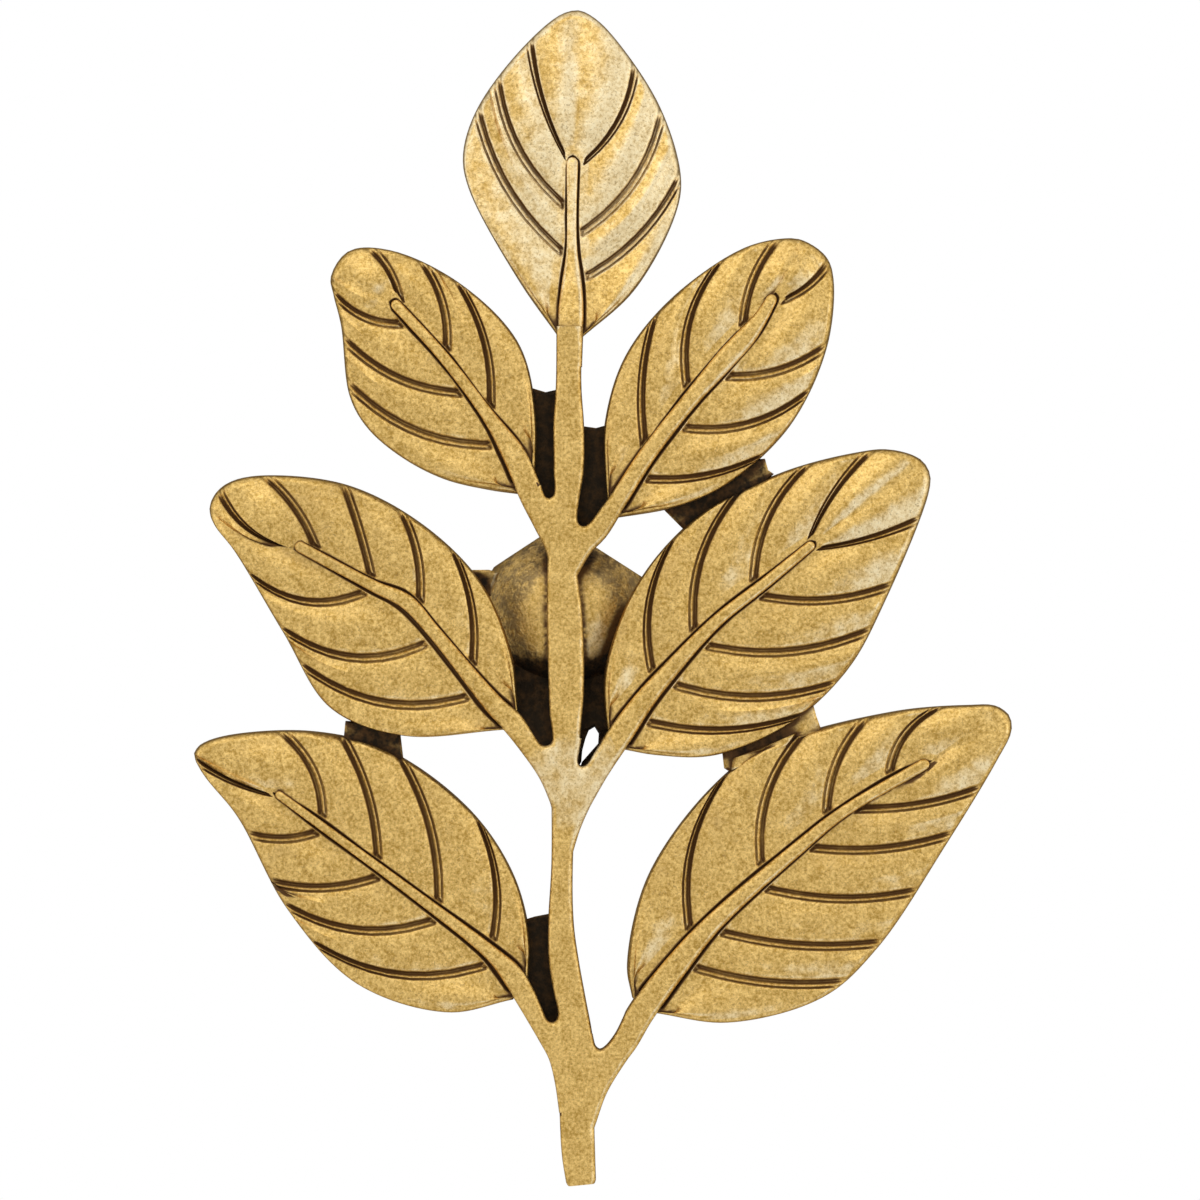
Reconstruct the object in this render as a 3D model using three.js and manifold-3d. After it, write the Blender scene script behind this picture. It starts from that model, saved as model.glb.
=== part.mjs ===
// A cabinet knob cast as a sprig of seven leaves, in millimetres.
// X runs to the right, Z up along the sprig, and the leaves look along -Y.
// The knob's post ends in a flat face at Y = 0, which seats on the door, and the screw comes
// in there along the Y axis. Outlines are drawn in the plane of the door as [x, z].

import * as THREE from 'three';
import * as BufferGeometryUtils from 'three/addons/utils/BufferGeometryUtils.js';
import Module from 'manifold-3d';

// Main sizes
const SPRIG_WIDTH = 64.05;        // tip of the left leaf to tip of the right one
const SPRIG_HEIGHT = 91.7;        // cut end of the stem to the top leaf's tip
const STEM_HALF_WIDTH = 1.4;      // stem at its widest, which branches and midribs follow
const TIP_FALL = 1;               // how far the lowest leaves' tips lean back to the door

// Depths, measured forward from the door
const PROJECTION = 25;            // door to the flat front of the stem
const STEM_RELIEF = 0.6;          // the stem and thick branches stand this far above the blades
const THIN_RIB_RELIEF = 0.28;     // the finest midribs stand this far above the blades
const BLADE_THICKNESS = 2.3;
const RIB_BACK_RELIEF = 0.4;      // stem and branches show as a low rib on the back
const WEB_THICKNESS = 1.0;        // metal left between neighbouring leaves
const WEB_SETBACK = 1.15;         // face of a web behind the blades' faces
const HIGH_WEB_SETBACK = 0.6;     // the one web that is seen from the front

// Carving of a blade
const VEIN_GROOVE_DEPTH = 0.5;
const VEIN_RIDGE_DROP = 0.08;     // the fine ridge between a vein's two grooves
const VEIN_GROOVE_OFFSET = 0.4;   // ridge to the bottom of the groove on either side
const VEIN_HALF_WIDTH = 0.78;     // ridge to where the groove meets the blade
const RIB_GROOVE_DEPTH = 0.5;     // groove that outlines each midrib
const RIB_GROOVE_GAP = 0.12;
const RIB_GROOVE_RUN = 0.5;
const PILLOW = 0.18;              // swelling of the blade between two veins
const EDGE_ROUND = 0.9;           // width of the rounded margin
const EDGE_DROP = 0.4;
const EDGE_DRAFT = 0.35;          // the side wall leans out this far towards the back
const CROWN = 0.25;               // the blade's middle above its margin and midrib
const SHORT_ROW = 3.6;            // cross lines shorter than this carry the profile narrowed
const RIB_SHARE_LIMIT = 0.4;      // most of a cross line that its midrib may cover
const ROW_PITCH = 3.4;            // spacing of the blade's cross lines along the margin
const TIP_ROWS = 2;               // least number of fill lines before a leaf's tip
const ROW_GAP = 0.06;             // least spacing of two cross lines
const LEAST_SINE = 0.55;          // slants beyond this no longer widen a vein along midrib or margin

// Stem and branches
const BAR_EDGE_ROUND = 0.42;
const BAR_EDGE_SHARE = 0.6;       // most of a half width that the rounded edge may take
const BAR_PITCH = 3.2;
const ROUND_END_STEPS = [0.55, 0.85, 0.97];

// Post behind the sprig, with the hole for a No. 8-32 machine screw
const POST_HEAD_RADIUS = 7.0;
const POST_HEAD_SETBACK = 5.2;    // widest part of the post's head behind the blades' backs
const POST_NECK_RADIUS = 4.3;
const POST_NECK_HEIGHT = 6.5;
const POST_FOOT_RADIUS = 5.6;
const POST_FOOT_HEIGHT = 1.6;
const POST_FOOT_CHAMFER = 0.4;
const POST_SINK = 0.9;            // the head's crown runs this far into the casting
const POST_SEGMENTS = 24;
const POST_NECK_STEPS = 4;
const POST_FLARE_STEPS = 4;
const POST_DOME_STEPS = 5;
const SCREW_HOLE_RADIUS = 1.75;
const SCREW_HOLE_DEPTH = 12;
const SCREW_MOUTH_RADIUS = 2.35;
const SCREW_TIP_DEPTH = 1;
const SCREW_SEGMENTS = 20;
const CUT_CLEARANCE = 1;          // the screw hole's cutter starts this far outside the metal

const CURVE_SAMPLES = 240;
const CURVE_PIECES = 60;
const WELD = 1e-4;

// The drawing of the sprig, in millimetres from the screw's axis. It is fitted to the main sizes
// further down. Centre line of the stem as [x, z, half width], from the cut end up:
const STEM = [
  [1.05, -44.4, 1.15], [0.82, -42, 1.3], [0.7, -38.9, 1.35], [0.18, -30, 1.2], [-0.33, -27, 1.17],
  [-0.55, -24, 1.0], [-0.45, -19, 0.84], [-0.2, -9, 1.2], [-0.13, -6, 1.38], [-0.25, 0, 1.4],
  [-0.45, 4, 1.15], [-0.1, 9, 1.1], [0.08, 12, 1.2], [0.05, 15, 1.2], [0.05, 18, 1.0], [0.1, 22.6, 1.0],
];

// Each leaf: its branch and midrib as [x, z, half width] up to the midrib's round end, the
// place along it where the blade starts, the leaf's tip, how many times TIP_FALL the tip leans
// back, how far the line from midrib to tip bows as a share of its length, and two sides. A side
// has its margin from base to tip, and its veins as a start by the midrib, a point on the way and
// an end on the margin.
const LEAVES = [
  {
    rib: [[0.1, 19.5, 1.0], [0.24, 24, 0.98], [0.3, 26, 0.8], [0.3, 28.5, 0.45], [0.29, 31, 0.38],
      [0.34, 35.9, 0.48]],
    base: [0.1, 21.2], tip: [0.8, 47.3], fall: 4.2, fallPower: 1, tipBow: 0,
    sides: [
      {
        margin: [[-0.6, 21.6], [-3.9, 26.3], [-7.8, 33.5], [-8.25, 36.2], [-7.2, 39.7], [-3.9, 44.1],
          [-0.6, 46.9]],
        veins: [[[-0.9, 27.7], [-4.6, 33.0], [-7.15, 39.6]], [[-0.7, 31.5], [-3.9, 36.3], [-5.5, 42.0]],
          [[-0.3, 36.6], [-1.9, 40.0], [-2.9, 44.9]]],
      },
      {
        margin: [[0.9, 21.6], [5.2, 25.5], [8.4, 31.4], [8.85, 34.4], [7.1, 40.2], [3.1, 45.8], [1.6, 47.0]],
        veins: [[[1.4, 25.8], [5.4, 29.3], [8.7, 34.3]], [[1.1, 29.4], [5.0, 33.5], [7.55, 39.4]],
          [[1.4, 35.9], [3.6, 38.4], [5.1, 42.9]]],
      },
    ],
  },
  {
    rib: [[-0.45, 4.2, 1.1], [-1.0, 6.8, 1.25], [-2.4, 9.8, 1.05], [-4.1, 12.6, 0.85], [-6.2, 15.6, 0.55],
      [-9.7, 20.2, 0.45], [-13.7, 24.6, 0.42]],
    base: [-3.0, 10.8], tip: [-18.6, 26.6], fall: 1.6, fallPower: 2, tipBow: 0,
    sides: [
      {
        margin: [[-2.5, 10.8], [-2.5, 16.0], [-3.9, 21.4], [-8.4, 26.0], [-13.9, 28.65], [-17.2, 28.6]],
        veins: [[[-5.1, 16.0], [-6.4, 21.5], [-8.6, 26.0]], [[-8.65, 20.6], [-9.6, 24.2], [-11.3, 27.7]],
          [[-12.0, 24.7], [-13.9, 27.1], [-15.4, 28.8]]],
      },
      {
        margin: [[-3.7, 9.5], [-6.2, 9.85], [-9.7, 10.7], [-13.0, 12.4], [-15.7, 14.7], [-17.1, 17.2],
          [-17.8, 22.8], [-18.4, 25.2]],
        veins: [[[-5.9, 12.5], [-11.9, 14.3], [-17.3, 18.1]], [[-8.1, 16.8], [-13.0, 18.3], [-17.7, 21.6]],
          [[-12.6, 22.3], [-15.0, 22.9], [-18.4, 25.2]]],
      },
    ],
  },
  {
    rib: [[-0.2, 3.5, 1.1], [0.7, 5.8, 1.3], [1.75, 7.5, 1.0], [3.7, 9.6, 0.75], [6.2, 13.0, 0.62],
      [9.4, 16.7, 0.68], [12.4, 20.15, 0.85], [14.0, 21.9, 0.8], [15.2, 23.5, 0.55], [16.1, 25.1, 0.42]],
    base: [3.0, 8.8], tip: [18.4, 29.45], fall: 1.8, fallPower: 2, tipBow: 0,
    sides: [
      {
        margin: [[3.6, 7.9], [9.6, 9.0], [12.8, 10.5], [17.4, 14.9], [20.3, 21.1], [20.8, 26.5], [20.2, 28.2]],
        veins: [[[6.0, 10.1], [9.9, 10.7], [15.2, 12.4]], [[8.8, 14.1], [14.3, 14.9], [18.9, 17.5]],
          [[12.4, 17.7], [17.0, 19.2], [20.25, 21.0]], [[16.45, 23.9], [19.5, 26.3], [20.3, 27.5]]],
      },
      {
        margin: [[2.9, 9.6], [2.85, 15.0], [4.4, 20.2], [8.0, 24.8], [13.7, 28.8], [17.0, 29.6]],
        veins: [[[5.2, 13.0], [5.6, 16.35], [6.65, 23.4]], [[8.6, 17.5], [9.0, 21.1], [11.9, 27.7]],
          [[12.9, 22.1], [14.4, 26.5], [16.3, 29.4]]],
      },
    ],
  },
  {
    rib: [[-0.42, -18.5, 0.75], [-0.35, -14.2, 1.0], [-1.3, -11.1, 1.15], [-2.6, -9.8, 0.95],
      [-5.1, -7.3, 0.65], [-10.5, -1.2, 0.55], [-12.6, 1.1, 0.62], [-15.1, 2.3, 0.47], [-21.3, 5.6, 0.45]],
    base: [-4.2, -8.4], tip: [-28.1, 8.4], fall: 1.4, fallPower: 2, tipBow: 0.12,
    sides: [
      {
        margin: [[-4.1, -7.9], [-4.3, -3.3], [-6.7, 2.5], [-11.4, 7.2], [-17.4, 10.3], [-24.2, 11.0],
          [-26.6, 10.45], [-27.7, 9.5]],
        veins: [[[-6.85, -4.3], [-7.8, 2.4], [-9.0, 5.0]], [[-10.9, 0.7], [-11.8, 5.5], [-12.9, 8.2]],
          [[-14.7, 3.0], [-16.3, 7.2], [-17.4, 10.2]], [[-18.7, 5.7], [-21.8, 9.3], [-23.6, 11.0]],
          [[-21.5, 5.6], [-25.4, 7.3], [-27.2, 10.0]]],
      },
      {
        margin: [[-4.9, -8.9], [-13.0, -9.35], [-18.6, -7.2], [-22.3, -1.3], [-26.2, 5.2], [-27.8, 7.3]],
        veins: [[[-7.4, -6.7], [-14.7, -6.85], [-21.2, -4.0]], [[-11.2, -2.7], [-16.6, -3.4], [-22.5, -1.0]],
          [[-15.5, 1.0], [-18.9, 0.95], [-24.9, 3.3]]],
      },
    ],
  },
  {
    rib: [[-0.38, -18.6, 0.7], [0.5, -13.9, 1.25], [1.7, -11.4, 1.2], [4.2, -8.4, 0.95], [6.9, -4.9, 0.7],
      [11.5, -0.5, 0.5], [15.3, 2.5, 0.45], [19.2, 5.7, 0.38]],
    base: [3.4, -9.3], tip: [27.6, 12.3], fall: 1.8, fallPower: 2, tipBow: 0,
    sides: [
      {
        margin: [[4.1, -10.4], [7.0, -10.9], [11.5, -10.9], [17.3, -8.5], [21.9, -4.2], [24.9, 1.3],
          [28.3, 9.8], [28.35, 11.2]],
        veins: [[[6.1, -8.85], [10.7, -9.05], [18.4, -8.0]], [[8.2, -6.0], [12.6, -6.4], [21.0, -5.4]],
          [[10.7, -3.0], [15.7, -3.0], [23.9, -1.3]], [[14.7, 1.0], [21.8, 1.3], [25.3, 2.3]],
          [[19.9, 5.2], [23.9, 6.2], [27.4, 7.5]]],
      },
      {
        margin: [[2.95, -9.0], [3.2, -4.0], [5.4, 2.5], [10.1, 7.8], [16.6, 11.2], [22.5, 12.8],
          [25.2, 13.05]],
        veins: [[[5.6, -4.5], [6.1, 0.15], [8.2, 6.0]], [[8.8, -1.2], [10.2, 4.4], [13.1, 9.8]],
          [[13.6, 2.9], [15.3, 7.3], [18.6, 11.9]], [[19.1, 6.5], [20.3, 8.8], [23.5, 12.85]]],
      },
    ],
  },
  {
    rib: [[0.4, -38, 1.0], [-0.6, -34.6, 1.0], [-1.7, -32.3, 1.05], [-3.9, -28.7, 0.9], [-5.9, -26.4, 0.6],
      [-12.0, -21.7, 0.4], [-22.8, -13.8, 0.32]],
    base: [-3.9, -28.7], tip: [-29.3, -10.75], fall: 1, fallPower: 2, tipBow: 0,
    sides: [
      {
        margin: [[-3.2, -28.4], [-3.05, -25.0], [-4.3, -20.1], [-7.7, -15.1], [-14.0, -10.5], [-20.0, -9.0],
          [-27.0, -9.4], [-28.9, -10.15]],
        veins: [[[-5.0, -25.2], [-6.2, -17.7], [-7.1, -16.0]], [[-9.4, -22.3], [-11.2, -14.6], [-12.9, -11.0]],
          [[-14.3, -19.1], [-15.8, -12.9], [-17.5, -9.4]], [[-18.4, -15.5], [-19.8, -12.0], [-22.3, -9.1]]],
      },
      {
        margin: [[-4.3, -30.0], [-9.5, -31.0], [-16.6, -28.7], [-22.0, -22.9], [-25.9, -15.7], [-28.7, -12.2]],
        veins: [[[-6.0, -27.7], [-12.3, -28.2], [-20.1, -25.5]],
          [[-10.0, -24.1], [-15.8, -24.7], [-22.2, -22.6]],
          [[-14.3, -20.5], [-20.9, -21.3], [-23.0, -20.8]], [[-19.2, -17.2], [-23.2, -17.5], [-25.0, -17.1]],
          [[-22.9, -13.9], [-27.4, -12.4], [-29.0, -11.3]]],
      },
    ],
  },
  {
    rib: [[0.9, -39.5, 1.2], [1.65, -36.9, 1.25], [3.15, -34.5, 1.15], [5.85, -30.9, 1.0], [8.6, -27.1, 0.95],
      [11.3, -24.0, 0.75], [18.0, -18.1, 0.55], [21.5, -15.3, 0.45], [28.2, -11.4, 0.5]],
    base: [5.9, -30.4], tip: [34.5, -7.7], fall: 1, fallPower: 2, tipBow: 0,
    sides: [
      {
        margin: [[6.6, -31.0], [12.6, -31.8], [20.0, -29.8], [24.2, -26.0], [29.6, -17.9], [33.6, -11.3],
          [34.75, -8.9]],
        veins: [[[9.9, -28.2], [16.2, -28.8], [21.5, -28.6]], [[11.7, -25.3], [19.3, -25.9], [24.6, -25.7]],
          [[15.3, -22.1], [22.2, -22.2], [27.2, -21.5]], [[18.6, -18.7], [25.5, -18.2], [30.0, -17.1]],
          [[22.1, -15.6], [27.8, -14.8], [32.2, -13.5]]],
      },
      {
        margin: [[5.0, -29.8], [4.6, -27.3], [6.2, -20.4], [11.0, -13.6], [15.5, -10.2], [25.5, -7.45],
          [31.6, -6.95], [33.4, -7.0]],
        veins: [[[8.4, -24.7], [9.2, -19.8], [12.4, -12.6]], [[14.1, -19.3], [15.1, -15.0], [18.2, -9.3]],
          [[19.1, -15.0], [20.9, -11.3], [23.2, -8.0]], [[24.3, -12.1], [26.2, -9.2], [29.0, -7.2]]],
      },
    ],
  },
];

// Low webs of metal left between neighbouring leaves, the stem and the post
const WEBS = [
  { setback: WEB_SETBACK, outline: [[-3.4, 9.0], [0, 8.4], [0, 17.9], [-1.75, 17.5], [-3.4, 18.0]] },
  { setback: WEB_SETBACK, outline: [[0, 6.6], [4.2, 8.6], [4.0, 15.2], [2.2, 14.7], [0, 15.0]] },
  {
    setback: WEB_SETBACK,
    outline: [[7.2, 8.6], [9.2, 6.6], [13.0, 8.2], [16.1, 11.1], [15.4, 12.3], [13.2, 12.2], [9.6, 10.2]],
  },
  { setback: WEB_SETBACK, outline: [[-4.6, 4.0], [-6.3, 3.7], [-8.2, 3.6], [-7.0, 0.6], [-4.2, 1.5]] },
  { setback: WEB_SETBACK, outline: [[-5.2, -3.6], [-4.9, -8.7], [-2.0, -10.6], [0, -9.0], [0, -3.6]] },
  { setback: WEB_SETBACK, outline: [[0, -3.6], [4.2, -3.6], [4.4, -8.4], [2.7, -9.1], [1.3, -9.0], [0, -9.4]] },
  {
    setback: WEB_SETBACK,
    outline: [[-17.4, -8.2], [-13.2, -8.4], [-12.8, -11.8], [-15.6, -10.9], [-17.6, -10.2]],
  },
  {
    setback: HIGH_WEB_SETBACK,
    outline: [[12.2, -11.9], [12.0, -10.2], [18.9, -6.6], [19.8, -7.3], [20.2, -9.3], [15.0, -11.0],
      [13.0, -12.4]],
  },
  {
    setback: WEB_SETBACK,
    outline: [[-3.9, -23.9], [-2.6, -23.5], [0, -23.0], [0, -32.6], [-1.6, -32.2], [-3.9, -28.6]],
  },
];

const bladeFace = PROJECTION - STEM_RELIEF;
const bladeBack = bladeFace - BLADE_THICKNESS;

// The drawing's own extent, and its fit to the main sizes
const leafCorners = ({ tip, sides }) => [tip, ...sides.flatMap(({ margin }) => margin)];
const drawnCorners = [STEM[0], ...LEAVES.flatMap(leafCorners)];
const extent = (values) => Math.max(...values) - Math.min(...values);
const widthFit = SPRIG_WIDTH / extent(drawnCorners.map(([x]) => x));
const heightFit = SPRIG_HEIGHT / extent(drawnCorners.map(([, z]) => z));
const barFit = STEM_HALF_WIDTH / Math.max(...STEM.map(([, , halfWidth]) => halfWidth));

const wasm = await Module();
wasm.setup();

// A drawn point at the real size
function fitted([x, z, halfWidth = 0]) {
  return [x * widthFit, z * heightFit, halfWidth * barFit];
}

function fittedLeaf(leaf) {
  return {
    rib: leaf.rib.map(fitted),
    base: fitted(leaf.base),
    tip: fitted(leaf.tip),
    fall: leaf.fall * TIP_FALL,
    fallPower: leaf.fallPower,
    tipBow: leaf.tipBow,
    sides: leaf.sides.map(({ margin, veins }) => ({
      margin: margin.map(fitted),
      veins: veins.map((vein) => vein.map(fitted)),
    })),
  };
}

// A point of the casting from its place in the door's plane and its height in front of the door
function place([x, z], height) {
  return new THREE.Vector3(x, -height, z);
}

// Smooth curve through [x, z] or [x, z, half width], read back at fractions of its length
function smoothCurve(points) {
  const curve = new THREE.CatmullRomCurve3(points.map(([x, z, w = 0]) => new THREE.Vector3(x, z, w)));
  curve.arcLengthDivisions = CURVE_SAMPLES;
  return curve;
}

function nearestFraction(curve, [x, z]) {
  let best = 0;
  let bestDistance = Infinity;
  for (let i = 0; i <= CURVE_SAMPLES; i += 1) {
    const point = curve.getPointAt(i / CURVE_SAMPLES);
    const distance = Math.hypot(point.x - x, point.y - z);
    if (distance < bestDistance) {
      bestDistance = distance;
      best = i / CURVE_SAMPLES;
    }
  }
  return best;
}

// The part of a curve between two fractions of its length
function curvePart(curve, from, to) {
  const points = [];
  for (let i = 0; i <= CURVE_PIECES; i += 1) {
    points.push(curve.getPointAt(THREE.MathUtils.lerp(from, to, i / CURVE_PIECES)).toArray());
  }
  return smoothCurve(points);
}

// How far the casting falls back at a place on a leaf, growing from the blade's base to its tip
function fallAt(leaf, [x, z]) {
  const along = new THREE.Vector2(leaf.tip[0] - leaf.base[0], leaf.tip[1] - leaf.base[1]);
  const from = new THREE.Vector2(x - leaf.base[0], z - leaf.base[1]);
  const share = Math.max(0, from.dot(along) / along.lengthSq());
  return leaf.fall * share ** leaf.fallPower;
}

// Triangles that fill a section, each running round the same way as the section's corners
function capFaces(section) {
  const outline = section.map(({ flat }) => flat);
  const forward = THREE.ShapeUtils.area(outline) > 0;
  return THREE.ShapeUtils.triangulateShape(outline, []).map((face) => {
    const alike = THREE.ShapeUtils.area(face.map((corner) => outline[corner])) > 0 === forward;
    return alike ? face : [...face].reverse();
  });
}

// Closed solid from sections with the same number of corners, each corner with its place in
// space and its place [across, height] in the section, which is what caps the ends. A last
// section folded flat on itself closes the solid without a cap.
function loft(sections, foldedEnd = false) {
  const count = sections[0].length;
  const positions = sections.flatMap((section) => section.flatMap(({ point }) => point.toArray()));
  const faces = [];
  for (let row = 0; row + 1 < sections.length; row += 1) {
    for (let i = 0; i < count; i += 1) {
      const a = row * count + i;
      const b = row * count + ((i + 1) % count);
      faces.push([a, b, b + count], [a, b + count, a + count]);
    }
  }
  const lastRow = (sections.length - 1) * count;
  faces.push(...capFaces(sections[0]).map(([a, b, c]) => [c, b, a]));
  if (!foldedEnd) {
    faces.push(...capFaces(sections.at(-1)).map((face) => face.map((corner) => corner + lastRow)));
  }
  return toSolid(positions, faces.flat());
}

// Solid from raw corners and triangles, turned right side out
function toSolid(positions, indices) {
  const geometry = new THREE.BufferGeometry();
  geometry.setAttribute('position', new THREE.Float32BufferAttribute(positions, 3));
  geometry.setIndex(indices);
  return geometrySolid(geometry);
}

function geometrySolid(geometry) {
  const bare = geometry.clone();
  bare.deleteAttribute('normal');
  bare.deleteAttribute('uv');
  const welded = BufferGeometryUtils.mergeVertices(bare, WELD);
  const corners = welded.getAttribute('position');
  const index = [...welded.index.array];
  const triangles = [];
  for (let i = 0; i < index.length; i += 3) {
    const [a, b, c] = index.slice(i, i + 3);
    if (a !== b && b !== c && c !== a) triangles.push([a, b, c]);
  }
  const at = (i) => new THREE.Vector3().fromBufferAttribute(corners, i);
  const volume = triangles.reduce((sum, [a, b, c]) => sum + at(a).dot(at(b).cross(at(c))), 0);
  const outward = volume > 0 ? triangles : triangles.map(([a, b, c]) => [c, b, a]);
  return new wasm.Manifold(new wasm.Mesh({
    numProp: 3,
    vertProperties: new Float32Array(corners.array),
    triVerts: new Uint32Array(outward.flat()),
  }));
}

// Flat-topped bar with rounded front edges along a centre line, with a round end where asked
function bar(points, fall, roundEnd) {
  const line = smoothCurve(points);
  const length = line.getLength();
  const endWidth = points.at(-1)[2];
  const endShare = roundEnd ? endWidth / length : 0;
  const steps = Math.max(2, Math.round(length / BAR_PITCH));
  const stations = [];
  for (let i = 0; i <= steps; i += 1) stations.push([(1 - endShare) * (i / steps), 1]);
  if (roundEnd) {
    for (const reach of ROUND_END_STEPS) {
      stations.push([1 - endShare + endShare * reach, Math.sqrt(1 - reach * reach)]);
    }
  }
  return loft(stations.map(([share, narrowing]) => {
    const centre = line.getPointAt(share);
    const ahead = line.getTangentAt(share);
    const across = new THREE.Vector2(ahead.y, -ahead.x).normalize();
    const halfWidth = centre.z * narrowing;
    const edge = Math.min(BAR_EDGE_ROUND, BAR_EDGE_SHARE * halfWidth);
    const stoutness = Math.min(1, centre.z / STEM_HALF_WIDTH);
    const relief = THREE.MathUtils.lerp(THIN_RIB_RELIEF, STEM_RELIEF, stoutness);
    const drop = fall([centre.x, centre.y]);
    const top = bladeFace + relief - drop;
    const back = bladeBack - RIB_BACK_RELIEF - drop;
    const outline = [
      [-halfWidth, back], [-halfWidth, top - BAR_EDGE_ROUND], [edge - halfWidth, top],
      [halfWidth - edge, top], [halfWidth, top - BAR_EDGE_ROUND], [halfWidth, back],
    ];
    return outline.map(([offset, height]) => ({
      point: place([centre.x + across.x * offset, centre.y + across.y * offset], height),
      flat: new THREE.Vector2(offset, height),
    }));
  }));
}

// Cross line of a blade from the midrib to the margin, bowed as the nearest veins are
function crossLine(start, end, bow) {
  const chord = new THREE.Vector2(end.x - start.x, end.y - start.y);
  const middle = new THREE.Vector2(start.x, start.y).addScaledVector(chord, 0.5);
  const bend = new THREE.Vector2(-chord.y, chord.x).multiplyScalar(2 * bow);
  const control = middle.add(bend);
  return {
    length: chord.length(),
    at: (t) => [
      (1 - t) ** 2 * start.x + 2 * t * (1 - t) * control.x + t * t * end.x,
      (1 - t) ** 2 * start.y + 2 * t * (1 - t) * control.y + t * t * end.y,
    ],
  };
}

// How many times farther apart parallel lines lie along a curve that they cross at a slant
function slantAcross(line, tangent) {
  const cross = Math.abs(line.x * tangent.y - line.y * tangent.x);
  return 1 / Math.max(LEAST_SINE, cross / (line.length() * Math.hypot(tangent.x, tangent.y)));
}

// A vein's fractions along midrib and margin, its bow as a share of its length, and its slants
function readVein(spine, margin, [start, middle, end]) {
  const ribShare = nearestFraction(spine, start);
  const marginShare = nearestFraction(margin, end);
  const from = spine.getPointAt(ribShare);
  const to = margin.getPointAt(marginShare);
  const chord = new THREE.Vector2(to.x - from.x, to.y - from.y);
  const offset = new THREE.Vector2(middle[0] - from.x, middle[1] - from.y);
  const along = offset.dot(chord) / chord.lengthSq();
  const aside = (chord.x * offset.y - chord.y * offset.x) / chord.lengthSq();
  const bow = aside / (4 * along * (1 - along));
  const bend = new THREE.Vector2(-chord.y, chord.x).multiplyScalar(4 * bow);
  return {
    rib: ribShare,
    margin: marginShare,
    bow,
    ribSlant: slantAcross(chord.clone().add(bend), spine.getTangentAt(ribShare)),
    marginSlant: slantAcross(chord.clone().sub(bend), margin.getTangentAt(marginShare)),
  };
}

// The stretches of one side of a blade between its base, its veins and its tip
function sideStretches(spine, margin, veins, tipBow) {
  const shifted = (vein, distance) => ({
    ...vein,
    rib: vein.rib + (distance * vein.ribSlant) / spine.getLength(),
    margin: vein.margin + (distance * vein.marginSlant) / margin.getLength(),
  });
  const stops = [{ rib: 0, margin: 0, bow: 0 }, ...veins, { rib: 1, margin: 1, bow: tipBow }];
  return stops.slice(1).map((stop, i) => {
    const from = i > 0 ? shifted(stops[i], VEIN_HALF_WIDTH) : stops[i];
    const to = i + 2 < stops.length ? shifted(stop, -VEIN_HALF_WIDTH) : stop;
    const width = (to.margin - from.margin) * margin.getLength();
    const isTip = i + 2 === stops.length;
    const carved = isTip ? [{ ...to, carve: 0 }] : [
      { ...to, carve: 0 },
      { ...shifted(stop, -VEIN_GROOVE_OFFSET), carve: -VEIN_GROOVE_DEPTH },
      { ...stop, carve: -VEIN_RIDGE_DROP },
      { ...shifted(stop, VEIN_GROOVE_OFFSET), carve: -VEIN_GROOVE_DEPTH },
      { ...shifted(stop, VEIN_HALF_WIDTH), carve: 0 },
    ];
    const fills = Math.max(isTip ? TIP_ROWS : 1, Math.round(width / ROW_PITCH) - 1);
    return { from, to, width, carved, fills, isTip };
  });
}

function rowCount(stretches) {
  return 1 + stretches.reduce((sum, { fills, carved }) => sum + fills + carved.length, 0);
}

// Cross lines of one side of a blade: five for each vein's ridge and grooves, and fill between,
// with more fill in the widest stretches until the side has the wanted number. The fill of the
// last stretch gathers towards the tip, where the margin turns fastest.
function crossRows(spine, margin, stretches, wanted) {
  const plan = stretches.map((stretch) => ({ ...stretch }));
  while (rowCount(plan) < wanted) {
    const widest = plan.reduce((a, b) => (b.width / (b.fills + 1) > a.width / (a.fills + 1) ? b : a));
    widest.fills += 1;
  }
  const rows = [{ ...plan[0].from, carve: 0 }];
  for (const { from, to, fills, carved, isTip } of plan) {
    for (let k = 1; k <= fills; k += 1) {
      const even = k / (fills + 1);
      const share = isTip ? Math.sin((even * Math.PI) / 2) : even;
      rows.push({
        rib: THREE.MathUtils.lerp(from.rib, to.rib, share),
        margin: THREE.MathUtils.lerp(from.margin, to.margin, share),
        bow: THREE.MathUtils.lerp(from.bow, to.bow, share),
        carve: PILLOW * Math.sin(Math.PI * share),
      });
    }
    rows.push(...carved);
  }
  const ribGap = ROW_GAP / spine.getLength();
  const marginGap = ROW_GAP / margin.getLength();
  const last = rows.length - 1;
  return rows.map((row, i) => ({
    ...row,
    rib: THREE.MathUtils.clamp(row.rib, i * ribGap, 1 - (last - i) * ribGap),
    margin: THREE.MathUtils.clamp(row.margin, i * marginGap, 1 - (last - i) * marginGap),
  }));
}

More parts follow.
